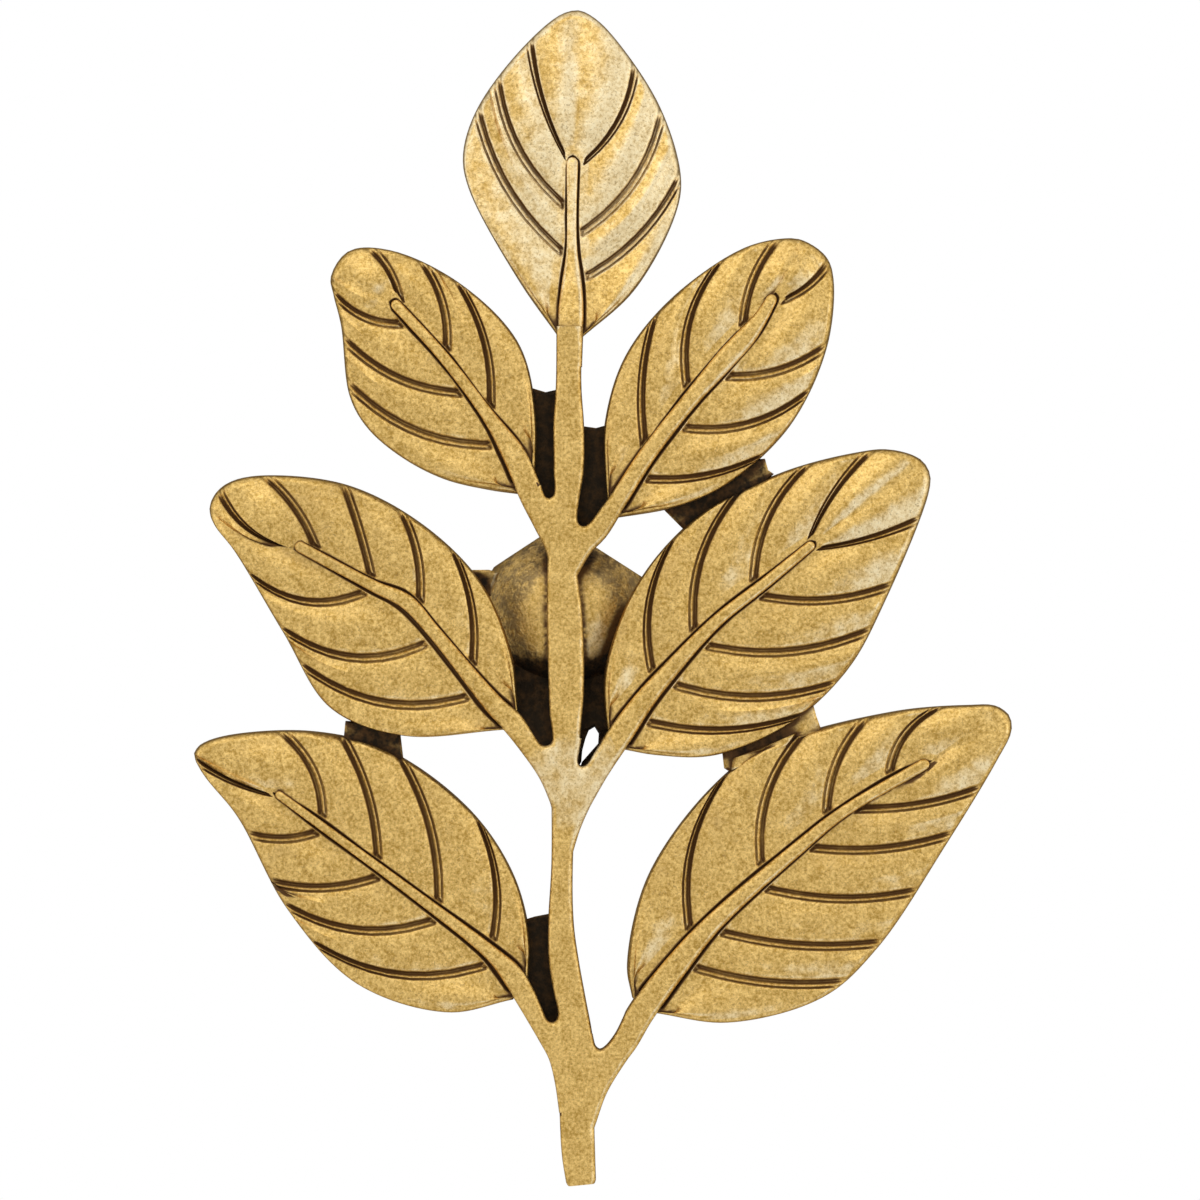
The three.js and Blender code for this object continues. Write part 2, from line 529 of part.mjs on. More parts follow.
// Corners of one cross line, from the groove beside the midrib out over the margin to the back
function rowCorners(leaf, spine, margin, row, hand) {
  const start = spine.getPointAt(row.rib);
  const line = crossLine(start, margin.getPointAt(row.margin), row.bow);
  const { length } = line;
  const fit = Math.min(1, length / SHORT_ROW);
  const groove = Math.min(start.z, RIB_SHARE_LIMIT * length) + fit * RIB_GROOVE_GAP;
  const shoulder = groove + fit * RIB_GROOVE_RUN;
  const edge = length - fit * EDGE_ROUND;
  const wall = length - fit * EDGE_DRAFT;
  const front = [
    [groove, -RIB_GROOVE_DEPTH], [shoulder, row.carve], [(shoulder + edge) / 2, CROWN + row.carve],
    [edge, row.carve], [wall, row.carve - EDGE_DROP], [length, -BLADE_THICKNESS],
  ];
  return front.map(([across, lift]) => {
    const spot = line.at(across / length);
    const height = bladeFace + lift;
    return {
      point: place(spot, height - fallAt(leaf, spot)),
      flat: new THREE.Vector2(hand * across, height),
    };
  });
}

// Margin of one side up to the tip, drawn on to the other side's last point so that the outline
// runs smoothly round the tip
function marginCurve(side, tip, otherSide) {
  const outline = smoothCurve([...side.margin, tip, otherSide.margin.at(-1)]);
  return curvePart(outline, 0, nearestFraction(outline, tip));
}

// A blade, lofted from its base to its tip over both sides at once, so that the two sides
// share the line on which they meet beyond the midrib
function blade(leaf, spine) {
  const sides = leaf.sides.map((side, i) => {
    const margin = marginCurve(side, leaf.tip, leaf.sides[1 - i]);
    const veins = side.veins.map((vein) => readVein(spine, margin, vein));
    return { margin, stretches: sideStretches(spine, margin, veins, leaf.tipBow) };
  });
  const wanted = Math.max(...sides.map(({ stretches }) => rowCount(stretches)));
  const [left, right] = sides.map(({ margin, stretches }, i) => {
    const hand = i === 0 ? -1 : 1;
    const rows = crossRows(spine, margin, stretches, wanted);
    return rows.map((row) => rowCorners(leaf, spine, margin, row, hand));
  });
  left[wanted - 1] = right[wanted - 1];
  return loft(left.map((corners, i) => [...corners.toReversed(), ...right[i]]), true);
}

function leafSolids(leaf) {
  const rib = smoothCurve(leaf.rib);
  const lastHalfWidth = leaf.rib.at(-1)[2];
  const spine = curvePart(rib, nearestFraction(rib, leaf.base), 1 - lastHalfWidth / rib.getLength());
  return [
    blade(leaf, spine),
    bar(leaf.rib, (spot) => fallAt(leaf, spot), true),
  ];
}

// Low web of metal, extruded along the knob's axis
function webSolid({ setback, outline }) {
  const shape = new THREE.Shape(outline.map(fitted).map(([x, z]) => new THREE.Vector2(x, z)));
  const geometry = new THREE.ExtrudeGeometry(shape, { depth: WEB_THICKNESS, bevelEnabled: false });
  geometry.rotateX(Math.PI / 2);
  geometry.translate(0, setback + WEB_THICKNESS - bladeFace, 0);
  return geometrySolid(geometry);
}

// Solid of revolution about the Y axis, from [radius, height in front of the door]
function turned(profile, segments) {
  const points = profile.map(([radius, height]) => new THREE.Vector2(radius, -height));
  return geometrySolid(new THREE.LatheGeometry(points, segments));
}

function postSolid() {
  const headHeight = bladeBack - POST_HEAD_SETBACK;
  const crownHeight = bladeBack + POST_SINK;
  const profile = [[0, 0], [POST_FOOT_RADIUS - POST_FOOT_CHAMFER, 0], [POST_FOOT_RADIUS, POST_FOOT_CHAMFER],
    [POST_FOOT_RADIUS, POST_FOOT_HEIGHT]];
  for (let i = 1; i <= POST_NECK_STEPS; i += 1) {
    const share = i / POST_NECK_STEPS;
    const bend = share * share * (3 - 2 * share);
    profile.push([
      THREE.MathUtils.lerp(POST_FOOT_RADIUS, POST_NECK_RADIUS, Math.sin((share * Math.PI) / 2)),
      THREE.MathUtils.lerp(POST_FOOT_HEIGHT, POST_NECK_HEIGHT, bend),
    ]);
  }
  for (let i = 1; i <= POST_FLARE_STEPS; i += 1) {
    const share = i / POST_FLARE_STEPS;
    const bend = share * share * (3 - 2 * share);
    profile.push([
      THREE.MathUtils.lerp(POST_NECK_RADIUS, POST_HEAD_RADIUS, bend),
      THREE.MathUtils.lerp(POST_NECK_HEIGHT, headHeight, share),
    ]);
  }
  for (let i = 1; i <= POST_DOME_STEPS; i += 1) {
    const angle = (i / POST_DOME_STEPS) * (Math.PI / 2);
    profile.push([
      i === POST_DOME_STEPS ? 0 : POST_HEAD_RADIUS * Math.cos(angle),
      headHeight + (crownHeight - headHeight) * Math.sin(angle),
    ]);
  }
  return turned(profile, POST_SEGMENTS);
}

function screwHole() {
  return turned([
    [0, -CUT_CLEARANCE], [SCREW_MOUTH_RADIUS + CUT_CLEARANCE, -CUT_CLEARANCE],
    [SCREW_HOLE_RADIUS, SCREW_MOUTH_RADIUS - SCREW_HOLE_RADIUS],
    [SCREW_HOLE_RADIUS, SCREW_HOLE_DEPTH], [0, SCREW_HOLE_DEPTH + SCREW_TIP_DEPTH],
  ], SCREW_SEGMENTS);
}

function casting() {
  const noFall = () => 0;
  const solids = [
    postSolid(),
    bar(STEM.map(fitted), noFall, false),
    ...LEAVES.map(fittedLeaf).flatMap(leafSolids),
    ...WEBS.map(webSolid),
  ];
  return solids.reduce((whole, solid) => whole.add(solid)).subtract(screwHole());
}

function meshFromSolid(solid, material) {
  const { numProp, vertProperties, triVerts } = solid.getMesh();
  const geometry = new THREE.BufferGeometry();
  geometry.setAttribute('position', new THREE.BufferAttribute(vertProperties, numProp));
  geometry.setIndex(new THREE.BufferAttribute(triVerts, 1));
  geometry.computeVertexNormals();
  return new THREE.Mesh(geometry, material);
}

const antiqueBrass = new THREE.MeshStandardMaterial({ color: 0xb8924f, roughness: 0.42, metalness: 0.9 });

const leafSprig = meshFromSolid(casting(), antiqueBrass);
leafSprig.name = 'leaf_sprig';

const knob = new THREE.Group();
knob.add(leafSprig);

export default knob;
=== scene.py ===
# %% [markdown]
# # A leaf knob in antique brass
# The real knob is one casting: a sprig of seven leaves on a flat stem, with a round post behind
# it that takes a screw through the door. The metal is plated brass, browned with a patina and
# then rubbed, so the high parts shine gold and every groove stays brown or black.
# The CAD model holds the true sizes and the main carving. Here the same casting is made again
# with a fine surface, and it stands in for the CAD solid.

# %% The frame from the CAD model
import math

import bmesh
import bpy
import numpy as np
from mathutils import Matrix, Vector
from mathutils.bvhtree import BVHTree


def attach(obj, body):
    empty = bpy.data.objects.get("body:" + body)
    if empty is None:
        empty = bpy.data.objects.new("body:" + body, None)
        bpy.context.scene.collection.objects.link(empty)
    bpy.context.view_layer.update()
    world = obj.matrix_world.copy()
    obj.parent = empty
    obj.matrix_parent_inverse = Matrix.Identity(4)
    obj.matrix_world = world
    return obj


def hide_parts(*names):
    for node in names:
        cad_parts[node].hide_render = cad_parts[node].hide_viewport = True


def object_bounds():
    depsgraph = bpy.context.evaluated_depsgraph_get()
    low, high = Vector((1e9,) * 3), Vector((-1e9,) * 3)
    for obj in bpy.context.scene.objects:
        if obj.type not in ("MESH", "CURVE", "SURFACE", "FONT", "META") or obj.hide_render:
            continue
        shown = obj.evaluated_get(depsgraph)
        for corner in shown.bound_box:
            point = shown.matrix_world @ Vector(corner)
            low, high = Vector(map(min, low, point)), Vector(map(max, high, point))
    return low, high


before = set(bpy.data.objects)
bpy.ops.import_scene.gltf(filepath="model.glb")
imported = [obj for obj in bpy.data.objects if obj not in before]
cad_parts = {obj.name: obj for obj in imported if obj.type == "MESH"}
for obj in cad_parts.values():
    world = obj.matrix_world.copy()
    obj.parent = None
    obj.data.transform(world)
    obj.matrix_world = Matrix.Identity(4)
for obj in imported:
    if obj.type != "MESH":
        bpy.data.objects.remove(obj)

cad_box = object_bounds()
NODE = "leaf_sprig"
MM = 0.001
print("CAD box in metres:", [[round(v, 4) for v in corner] for corner in cad_box])

# %% [markdown]
# ## Camera
# The photograph looks straight at the front from far away, so a long lens is used. The lens
# follows from how much of the front plane the picture shows. The camera comes first.

# %% Camera
PROJECTION = 25.0 * MM
PICTURE_WIDTH = 93.6 * MM
PICTURE_CENTRE = (2.5 * MM, 1.25 * MM)
CAMERA_DISTANCE = 0.9
SENSOR = 36.0

camera_data = bpy.data.cameras.new("camera")
camera_data.sensor_width = SENSOR
camera_data.lens = SENSOR * CAMERA_DISTANCE / PICTURE_WIDTH
camera = bpy.data.objects.new("camera", camera_data)
camera.location = (PICTURE_CENTRE[0], -PROJECTION - CAMERA_DISTANCE, PICTURE_CENTRE[1])
camera.rotation_euler = (math.radians(90), 0, 0)
bpy.context.scene.collection.objects.link(camera)
bpy.context.scene.camera = camera
bpy.context.scene.view_settings.view_transform = "Standard"
print("lens", round(camera_data.lens), "mm")

# %% [markdown]
# ## Smooth lines
# The carver's drawing is a few points on each leaf. A centripetal Catmull-Rom curve passes
# through all of them without loops or overshoot, so the points stay readable and the outline
# comes out round. A third number on a point is a half width, which is smoothed along with it.

# %% Curve through given points
CURVE_STEPS = 24
PART_STEPS = 61


class Curve:
    """A smooth line through [x, z] or [x, z, half width], read by its share of the length."""

    def __init__(self, points):
        knots = np.array([list(point) + [0.0] * (3 - len(point)) for point in points], float)
        knots = np.vstack([2 * knots[0] - knots[1], knots, 2 * knots[-1] - knots[-2]])
        gaps = np.linalg.norm(np.diff(knots, axis=0), axis=1) ** 0.5
        t = np.linspace(0, 1, CURVE_STEPS, endpoint=False)[:, None]
        runs = []
        for i in range(1, len(knots) - 2):
            a, b, c, d = knots[i - 1 : i + 3]
            before, here, after = gaps[i - 1 : i + 2]
            leave = ((b - a) / before - (c - a) / (before + here) + (c - b) / here) * here
            arrive = ((c - b) / here - (d - b) / (here + after) + (d - c) / after) * here
            bend = 3 * (c - b) - 2 * leave - arrive
            twist = 2 * (b - c) + leave + arrive
            runs.append(b + leave * t + bend * t**2 + twist * t**3)
        self.points = np.vstack([*runs, knots[-2:-1]])
        steps = np.linalg.norm(np.diff(self.points, axis=0), axis=1)
        self.reach = np.concatenate([[0], np.cumsum(steps)])
        self.length = self.reach[-1]

    def at(self, share):
        reach = np.clip(share, 0, 1) * self.length
        return np.stack([np.interp(reach, self.reach, column) for column in self.points.T], axis=-1)

    def along(self, share):
        step = 0.002
        ahead = self.at(np.minimum(share + step, 1))[..., :2]
        behind = self.at(np.maximum(share - step, 0))[..., :2]
        way = ahead - behind
        return way / np.linalg.norm(way, axis=-1, keepdims=True)

    def part(self, low, high):
        """The stretch between two shares of the length, as a curve of its own."""
        return Curve(self.at(np.linspace(low, high, PART_STEPS)))

    def nearest(self, spot):
        distance = np.linalg.norm(self.points[:, :2] - np.array(spot), axis=1)
        return self.reach[distance.argmin()] / self.length


# %% [markdown]
# ## The drawing of the sprig
# All points are millimetres in the plane of the door, X to the right and Z up, from the axis of
# the screw. A leaf has its branch and midrib, the place where its blade starts, its tip, how
# far the tip leans back, and two sides. Each side has a margin and its veins. The points
# are the CAD model's own, since the fine casting has to lie where the solid lies, and near the
# forks there are more of them, because the eye follows those edges closely.

# %% Points of the sprig
STEM = [
    [1.05, -44.4, 1.15], [0.82, -42, 1.3], [0.7, -38.9, 1.35], [0.68, -35.5, 1.4],
    [0.55, -33, 1.38], [0.18, -30, 1.2],
    [-0.33, -27, 1.17], [-0.55, -24, 1.0], [-0.45, -19, 0.84], [-0.2, -9, 1.2],
    [-0.13, -6, 1.38], [-0.25, 0, 1.4], [-0.45, 4, 1.15], [-0.1, 9, 1.1],
    [0.08, 12, 1.2], [0.05, 15, 1.2], [0.05, 18, 1.0], [0.1, 22.6, 1.0],
]

TOP_LEAF = {
    "rib": [[0.1, 19.5, 1.0], [0.24, 24, 0.98], [0.3, 26, 0.8], [0.3, 28.5, 0.45],
            [0.29, 31, 0.38], [0.34, 35.9, 0.48]],
    "base": [0.1, 21.2], "tip": [0.8, 47.6], "tip_bow": 0, "fall": 4.2, "fall_power": 1,
    "sides": [
        {
            "margin": [[-0.6, 21.6], [-3.9, 26.3], [-7.8, 33.5], [-8.25, 36.2], [-7.2, 39.7],
                       [-3.9, 44.3], [-0.6, 47.25]],
            "veins": [[[-0.9, 27.7], [-4.6, 33.0], [-7.15, 39.6]],
                      [[-0.7, 31.5], [-3.9, 36.3], [-5.5, 42.0]],
                      [[-0.3, 36.6], [-1.9, 40.0], [-2.9, 44.9]]],
        },
        {
            "margin": [[0.9, 21.6], [5.2, 25.5], [8.4, 31.4], [8.85, 34.4], [7.1, 40.2],
                       [3.1, 46.05], [1.6, 47.3]],
            "veins": [[[1.4, 25.8], [5.4, 29.3], [8.7, 34.3]],
                      [[1.1, 29.4], [5.0, 33.5], [7.55, 39.4]],
                      [[1.4, 35.9], [3.6, 38.4], [5.1, 42.9]]],
        },
    ],
}

UPPER_LEFT_LEAF = {
    "rib": [[-0.45, 3.6, 1.0], [-0.9, 5.3, 0.85], [-1.75, 7.2, 0.92], [-2.88, 9.53, 0.97],
            [-4.1, 12.4, 0.95], [-6.2, 15.6, 0.55], [-9.7, 20.2, 0.45], [-13.7, 24.6, 0.42]],
    "base": [-3.0, 10.8], "tip": [-18.6, 26.6], "tip_bow": 0, "fall": 1.6, "fall_power": 2,
    "sides": [
        {
            "margin": [[-2.5, 10.8], [-2.5, 16.0], [-3.9, 21.4], [-8.4, 26.0], [-13.9, 28.65],
                       [-17.2, 28.6]],
            "veins": [[[-5.1, 16.0], [-6.4, 21.5], [-8.6, 26.0]],
                      [[-8.65, 20.6], [-9.6, 24.2], [-11.3, 27.7]],
                      [[-12.0, 24.7], [-13.9, 27.1], [-15.4, 28.8]]],
        },
        {
            "margin": [[-3.7, 9.5], [-6.2, 9.85], [-9.7, 10.7], [-13.0, 12.4], [-15.7, 14.7],
                       [-17.1, 17.2], [-17.8, 22.8], [-18.4, 25.2]],
            "veins": [[[-5.9, 12.5], [-11.9, 14.3], [-17.3, 18.1]],
                      [[-8.1, 16.8], [-13.0, 18.3], [-17.7, 21.6]],
                      [[-12.6, 22.3], [-15.0, 22.9], [-18.4, 25.2]]],
        },
    ],
}

UPPER_RIGHT_LEAF = {
    "rib": [[-0.2, 3.5, 1.0], [1.1, 5.5, 0.9], [2.32, 6.72, 0.86], [3.67, 8.68, 0.75],
            [6.24, 12.65, 0.68], [9.4, 16.7, 0.68], [12.4, 20.15, 0.85], [14.0, 21.9, 0.8],
            [15.2, 23.5, 0.55], [16.1, 25.1, 0.42]],
    "base": [3.0, 8.8], "tip": [18.4, 29.45], "tip_bow": 0, "fall": 1.8, "fall_power": 2,
    "sides": [
        {
            "margin": [[3.7, 7.65], [7.4, 8.25], [9.6, 8.85], [12.8, 10.5], [17.4, 14.9], [20.3, 21.1],
                       [20.8, 26.5], [20.2, 28.2]],
            "veins": [[[6.0, 10.1], [9.9, 10.7], [15.2, 12.4]],
                      [[8.8, 14.1], [14.3, 14.9], [18.9, 17.5]],
                      [[12.4, 17.7], [17.0, 19.2], [20.25, 21.0]],
                      [[16.45, 23.9], [19.5, 26.3], [20.3, 27.5]]],
        },
        {
            "margin": [[3.05, 9.2], [2.87, 11.0], [2.85, 15.0], [4.4, 20.2], [8.0, 24.8], [13.7, 28.8],
                       [17.0, 29.6]],
            "veins": [[[5.2, 13.0], [5.6, 16.35], [6.65, 23.4]],
                      [[8.6, 17.5], [9.0, 21.1], [11.9, 27.7]],
                      [[12.9, 22.1], [14.4, 26.5], [16.3, 29.4]]],
        },
    ],
}

MIDDLE_LEFT_LEAF = {
    "rib": [[-0.42, -18.5, 0.7], [-0.42, -15.2, 0.8], [-0.8, -13.5, 0.95], [-1.55, -12.05, 0.9],
            [-3.03, -10.1, 0.8], [-4.39, -8.25, 0.9], [-5.69, -7.0, 0.8], [-10.5, -1.2, 0.55],
            [-12.6, 1.1, 0.62], [-15.1, 2.3, 0.47], [-21.3, 5.6, 0.45]],
    "base": [-4.2, -8.4], "tip": [-28.1, 8.4], "tip_bow": 0.12, "fall": 1.4, "fall_power": 2,
    "sides": [
        {
            "margin": [[-3.9, -7.6], [-4.05, -5.5], [-4.3, -3.3], [-6.7, 2.5], [-11.4, 7.2], [-17.4, 10.3],
                       [-24.2, 11.0], [-26.6, 10.45], [-27.7, 9.5]],
            "veins": [[[-6.85, -4.3], [-7.8, 2.4], [-9.0, 5.0]],
                      [[-10.9, 0.7], [-11.8, 5.5], [-12.9, 8.2]],
                      [[-14.7, 3.0], [-16.3, 7.2], [-17.4, 10.2]],
                      [[-18.7, 5.7], [-21.8, 9.3], [-23.6, 11.0]],
                      [[-21.5, 5.6], [-25.4, 7.3], [-27.2, 10.0]]],
        },
        {
            "margin": [[-4.9, -8.9], [-13.0, -9.35], [-18.6, -7.2], [-22.3, -1.3], [-26.2, 5.2],
                       [-27.8, 7.3]],
            "veins": [[[-7.4, -6.7], [-14.7, -6.85], [-21.2, -4.0]],
                      [[-11.2, -2.7], [-16.6, -3.4], [-22.5, -1.0]],
                      [[-15.5, 1.0], [-18.9, 0.95], [-24.9, 3.3]]],
        },
    ],
}

MIDDLE_RIGHT_LEAF = {
    "rib": [[-0.38, -18.6, 0.7], [0.2, -16.4, 0.8], [0.85, -14.6, 0.92], [1.4, -13.5, 0.96],
            [2.39, -11.88, 0.92], [4.04, -9.3, 0.98], [5.86, -6.7, 0.84], [7.47, -4.79, 0.72],
            [11.5, -0.5, 0.5], [15.3, 2.5, 0.45], [19.2, 5.7, 0.38]],
    "base": [3.4, -9.3], "tip": [27.6, 12.3], "tip_bow": 0, "fall": 1.8, "fall_power": 2,
    "sides": [
        {
            "margin": [[4.1, -10.4], [7.0, -10.9], [11.5, -10.9], [17.3, -8.5], [21.9, -4.2],
                       [24.9, 1.3], [28.3, 9.8], [28.35, 11.2]],
            "veins": [[[6.1, -8.85], [10.7, -9.05], [18.4, -8.0]],
                      [[8.2, -6.0], [12.6, -6.4], [21.0, -5.4]],
                      [[10.7, -3.0], [15.7, -3.0], [23.9, -1.3]],
                      [[14.7, 1.0], [21.8, 1.3], [25.3, 2.3]],
                      [[19.9, 5.2], [23.9, 6.2], [27.4, 7.5]]],
        },
        {
            "margin": [[3.05, -8.8], [2.8, -6.8], [2.9, -4.0], [5.4, 2.5], [10.1, 7.8], [16.6, 11.2],
                       [22.5, 12.8], [25.2, 13.05]],
            "veins": [[[5.6, -4.5], [6.1, 0.15], [8.2, 6.0]],
                      [[8.8, -1.2], [10.2, 4.4], [13.1, 9.8]],
                      [[13.6, 2.9], [15.3, 7.3], [18.6, 11.9]],
                      [[19.1, 6.5], [20.3, 8.8], [23.5, 12.85]]],
        },
    ],
}

LOWER_LEFT_LEAF = {
    "rib": [[0.4, -38.6, 1.1], [0.0, -36.2, 1.05], [-0.62, -34.2, 0.95], [-1.45, -32.75, 0.9],
            [-2.35, -31.3, 0.85], [-3.2, -29.9, 0.84], [-4.28, -28.1, 0.88],
            [-5.9, -26.4, 0.6], [-12.0, -21.7, 0.4], [-22.8, -13.8, 0.32]],
    "base": [-3.9, -28.7], "tip": [-29.3, -10.75], "tip_bow": 0, "fall": 1.0, "fall_power": 2,
    "sides": [
        {
            "margin": [[-3.05, -28.2], [-2.98, -25.0], [-4.3, -20.1], [-7.7, -15.1],
                       [-14.0, -10.5], [-20.0, -9.0], [-27.0, -9.4], [-28.9, -10.15]],
            "veins": [[[-5.0, -25.2], [-6.2, -17.7], [-7.1, -16.0]],
                      [[-9.4, -22.3], [-11.2, -14.6], [-12.9, -11.0]],
                      [[-14.3, -19.1], [-15.8, -12.9], [-17.5, -9.4]],
                      [[-18.4, -15.5], [-19.8, -12.0], [-22.3, -9.1]]],
        },
        {
            "margin": [[-4.3, -30.0], [-9.5, -31.0], [-16.6, -28.7], [-22.0, -22.9],
                       [-25.9, -15.7], [-28.7, -12.2]],
            "veins": [[[-6.0, -27.7], [-12.3, -28.2], [-20.1, -25.5]],
                      [[-10.0, -24.1], [-15.8, -24.7], [-22.2, -22.6]],
                      [[-14.3, -20.5], [-20.9, -21.3], [-23.0, -20.8]],
                      [[-19.2, -17.2], [-23.2, -17.5], [-25.0, -17.1]],
                      [[-22.9, -13.9], [-27.4, -12.4], [-29.0, -11.3]]],
        },
    ],
}

LOWER_RIGHT_LEAF = {
    "rib": [[0.95, -39.5, 1.2], [2.05, -36.75, 1.1], [3.75, -34.15, 1.0], [4.52, -33.1, 1.0],
            [5.64, -31.06, 1.06],
            [8.6, -27.1, 0.95], [11.3, -24.0, 0.75], [18.0, -18.1, 0.55], [21.5, -15.3, 0.45],
            [28.2, -11.4, 0.5]],
    "base": [5.9, -30.4], "tip": [34.5, -7.7], "tip_bow": 0, "fall": 1.0, "fall_power": 2,
    "sides": [
        {
            "margin": [[6.6, -31.0], [12.6, -31.8], [20.0, -29.8], [24.2, -26.0], [29.6, -17.9],
                       [33.6, -11.3], [34.75, -8.9]],
            "veins": [[[9.9, -28.2], [16.2, -28.8], [21.5, -28.6]],
                      [[11.7, -25.3], [19.3, -25.9], [24.6, -25.7]],
                      [[15.3, -22.1], [22.2, -22.2], [27.2, -21.5]],
                      [[18.6, -18.7], [25.5, -18.2], [30.0, -17.1]],
                      [[22.1, -15.6], [27.8, -14.8], [32.2, -13.5]]],
        },
        {
            "margin": [[5.0, -29.8], [4.6, -27.3], [6.2, -20.4], [11.0, -13.6], [15.5, -10.2],
                       [25.5, -7.45], [31.6, -6.95], [33.4, -7.0]],
            "veins": [[[8.4, -24.7], [9.2, -19.8], [12.4, -12.6]],
                      [[14.1, -19.3], [15.1, -15.0], [18.2, -9.3]],
                      [[19.1, -15.0], [20.9, -11.3], [23.2, -8.0]],
                      [[24.3, -12.1], [26.2, -9.2], [29.0, -7.2]]],
        },
    ],
}

LEAVES = {
    "top": TOP_LEAF,
    "upper_left": UPPER_LEFT_LEAF,
    "upper_right": UPPER_RIGHT_LEAF,
    "middle_left": MIDDLE_LEFT_LEAF,
    "middle_right": MIDDLE_RIGHT_LEAF,
    "lower_left": LOWER_LEFT_LEAF,
    "lower_right": LOWER_RIGHT_LEAF,
}
vein_count = sum(len(side["veins"]) for leaf in LEAVES.values() for side in leaf["sides"])
print(len(LEAVES), "leaves with", vein_count, "veins")

# %% [markdown]
# ## Depths of the casting
# Heights are measured forward from the blades' general face. The stem stands proud of it, the
# grooves are cut into it, and the back lies one thickness behind. A vein on this knob is a
# bright thread of metal left standing between two grooves, a wide one on the side of the leaf's
# tip and a fine one below it. Near the midrib the grooves meet, so each vein ends in a small U.

# %% Depths and widths in millimetres
PROJECTION_MM = 25.0
STEM_RELIEF = 0.6
THIN_RIB_RELIEF = 0.28
BLADE_THICKNESS = 2.3
RIB_BACK_RELIEF = 0.4
WIDE_GROOVE = {"centre": 0.28, "reach": 0.29, "depth": 0.27}
FINE_GROOVE = {"centre": -0.16, "reach": 0.16, "depth": 0.16}
VEIN_HOLLOW = {"centre": 0.45, "reach": 0.85, "depth": 0.14}
VEIN_FADE = 0.1
VEIN_FADE_RUN = 0.4
VEIN_STOP = 0.28
VEIN_STOP_RUN = 0.2
NOSE_STOP = 0.55
NOSE_REACH = 1.1
RIB_GROOVE_DEPTH = 0.24
RIB_GROOVE_GAP = 0.04
RIB_GROOVE_RUN = 0.2
PILLOW = 0.18
EDGE_ROUND = 0.8
EDGE_DRAFT = 0.12
CROWN = 0.25
BAR_EDGE_ROUND = 0.42

BLADE_FACE = PROJECTION_MM - STEM_RELIEF
BLADE_BACK = BLADE_FACE - BLADE_THICKNESS


def smooth_step(low, high, value):
    """0 below low, 1 above high, with an S curve between."""
    share = np.clip((value - low) / (high - low), 0, 1)
    return share * share * (3 - 2 * share)


def hollow(groove, distance):
    """Depth of one round-bottomed groove at a distance from the vein's thread."""
    share = np.clip((distance - groove["centre"]) / groove["reach"], -1, 1)
    return groove["depth"] * (0.5 + 0.5 * np.cos(np.pi * share))


def vein_profile(distance):
    """Height across a vein: a thread with a wide groove on one side and a fine one on the other."""
    return -hollow(WIDE_GROOVE, distance) - hollow(FINE_GROOVE, distance) - hollow(VEIN_HOLLOW, distance)


def joined_profile(distance):
    """Height across the end of a vein, where the grooves meet and there is no thread."""
    between = FINE_GROOVE["centre"] < distance < WIDE_GROOVE["centre"]
    return -WIDE_GROOVE["depth"] if between else vein_profile(distance)


def fall_at(leaf, spots):
    """How far the leaf leans back at [x, z] places, from its base to its tip."""
    along = np.array(leaf["tip"]) - np.array(leaf["base"])
    share = np.maximum((spots - np.array(leaf["base"])) @ along / (along @ along), 0)
    return leaf["fall"] * share ** leaf["fall_power"]


# %% [markdown]
# ## A mesh from sections
# Blades and bars are lofts: one closed section after another, joined by quads. Blender has no
# loft modifier, so the quads are written out. The blade's last section folds flat on itself at
# the leaf's tip, and welding its corners closes the solid there without a cap.

# %% Loft and other mesh helpers
WELD = 1e-7


def new_object(name, vertices, faces):
    """An object from millimetre points and faces, with every face turned outward."""
    mesh = bpy.data.meshes.new(name)
    mesh.from_pydata((np.asarray(vertices) * MM).tolist(), [], faces)
    shape = bmesh.new()
    shape.from_mesh(mesh)
    bmesh.ops.remove_doubles(shape, verts=shape.verts, dist=WELD)
    bmesh.ops.dissolve_degenerate(shape, edges=shape.edges, dist=WELD)
    bmesh.ops.recalc_face_normals(shape, faces=shape.faces)
    shape.to_mesh(mesh)
    shape.free()
    made = bpy.data.objects.new(name, mesh)
    bpy.context.scene.collection.objects.link(made)
    return made


def loft(name, sections, folded_end=False):
    """A closed solid through sections of points, an array of rows by corners by three."""
    rows, corners, _ = sections.shape
    faces = [list(range(corners))]
    for row in range(rows - 1):
        for corner in range(corners):
            a = row * corners + corner
            b = row * corners + (corner + 1) % corners
            faces.append([a, b, b + corners, a + corners])
    if not folded_end:
        faces.append([(rows - 1) * corners + corner for corner in range(corners)])
    return new_object(name, sections.reshape(-1, 3), faces)


def in_space(spots, heights):
    """Points of the casting from [x, z] places and heights in front of the door."""
    return np.stack([spots[..., 0], -heights, spots[..., 1]], axis=-1)


# %% [markdown]
# ## Blades
# A grid laid square over a leaf would cut across the veins and blur them. Instead every cross
# line of the mesh runs the way the veins run, from midrib to margin, so the thread and the
# grooves lie on mesh lines and stay crisp with few faces. Lines are close together over a vein
# and wide apart between two.

# %% Cross lines of one side of a blade
VEIN_LINES = [-0.5, -0.34, -0.27, -0.21, -0.16, -0.11, -0.05, 0.0, 0.05, 0.11, 0.17, 0.23,
              0.29, 0.35, 0.42, 0.49, 0.58, 0.8, 1.2]
FILL_PITCH = 0.55
LEAST_SINE = 0.55
ROW_GAP = 0.03


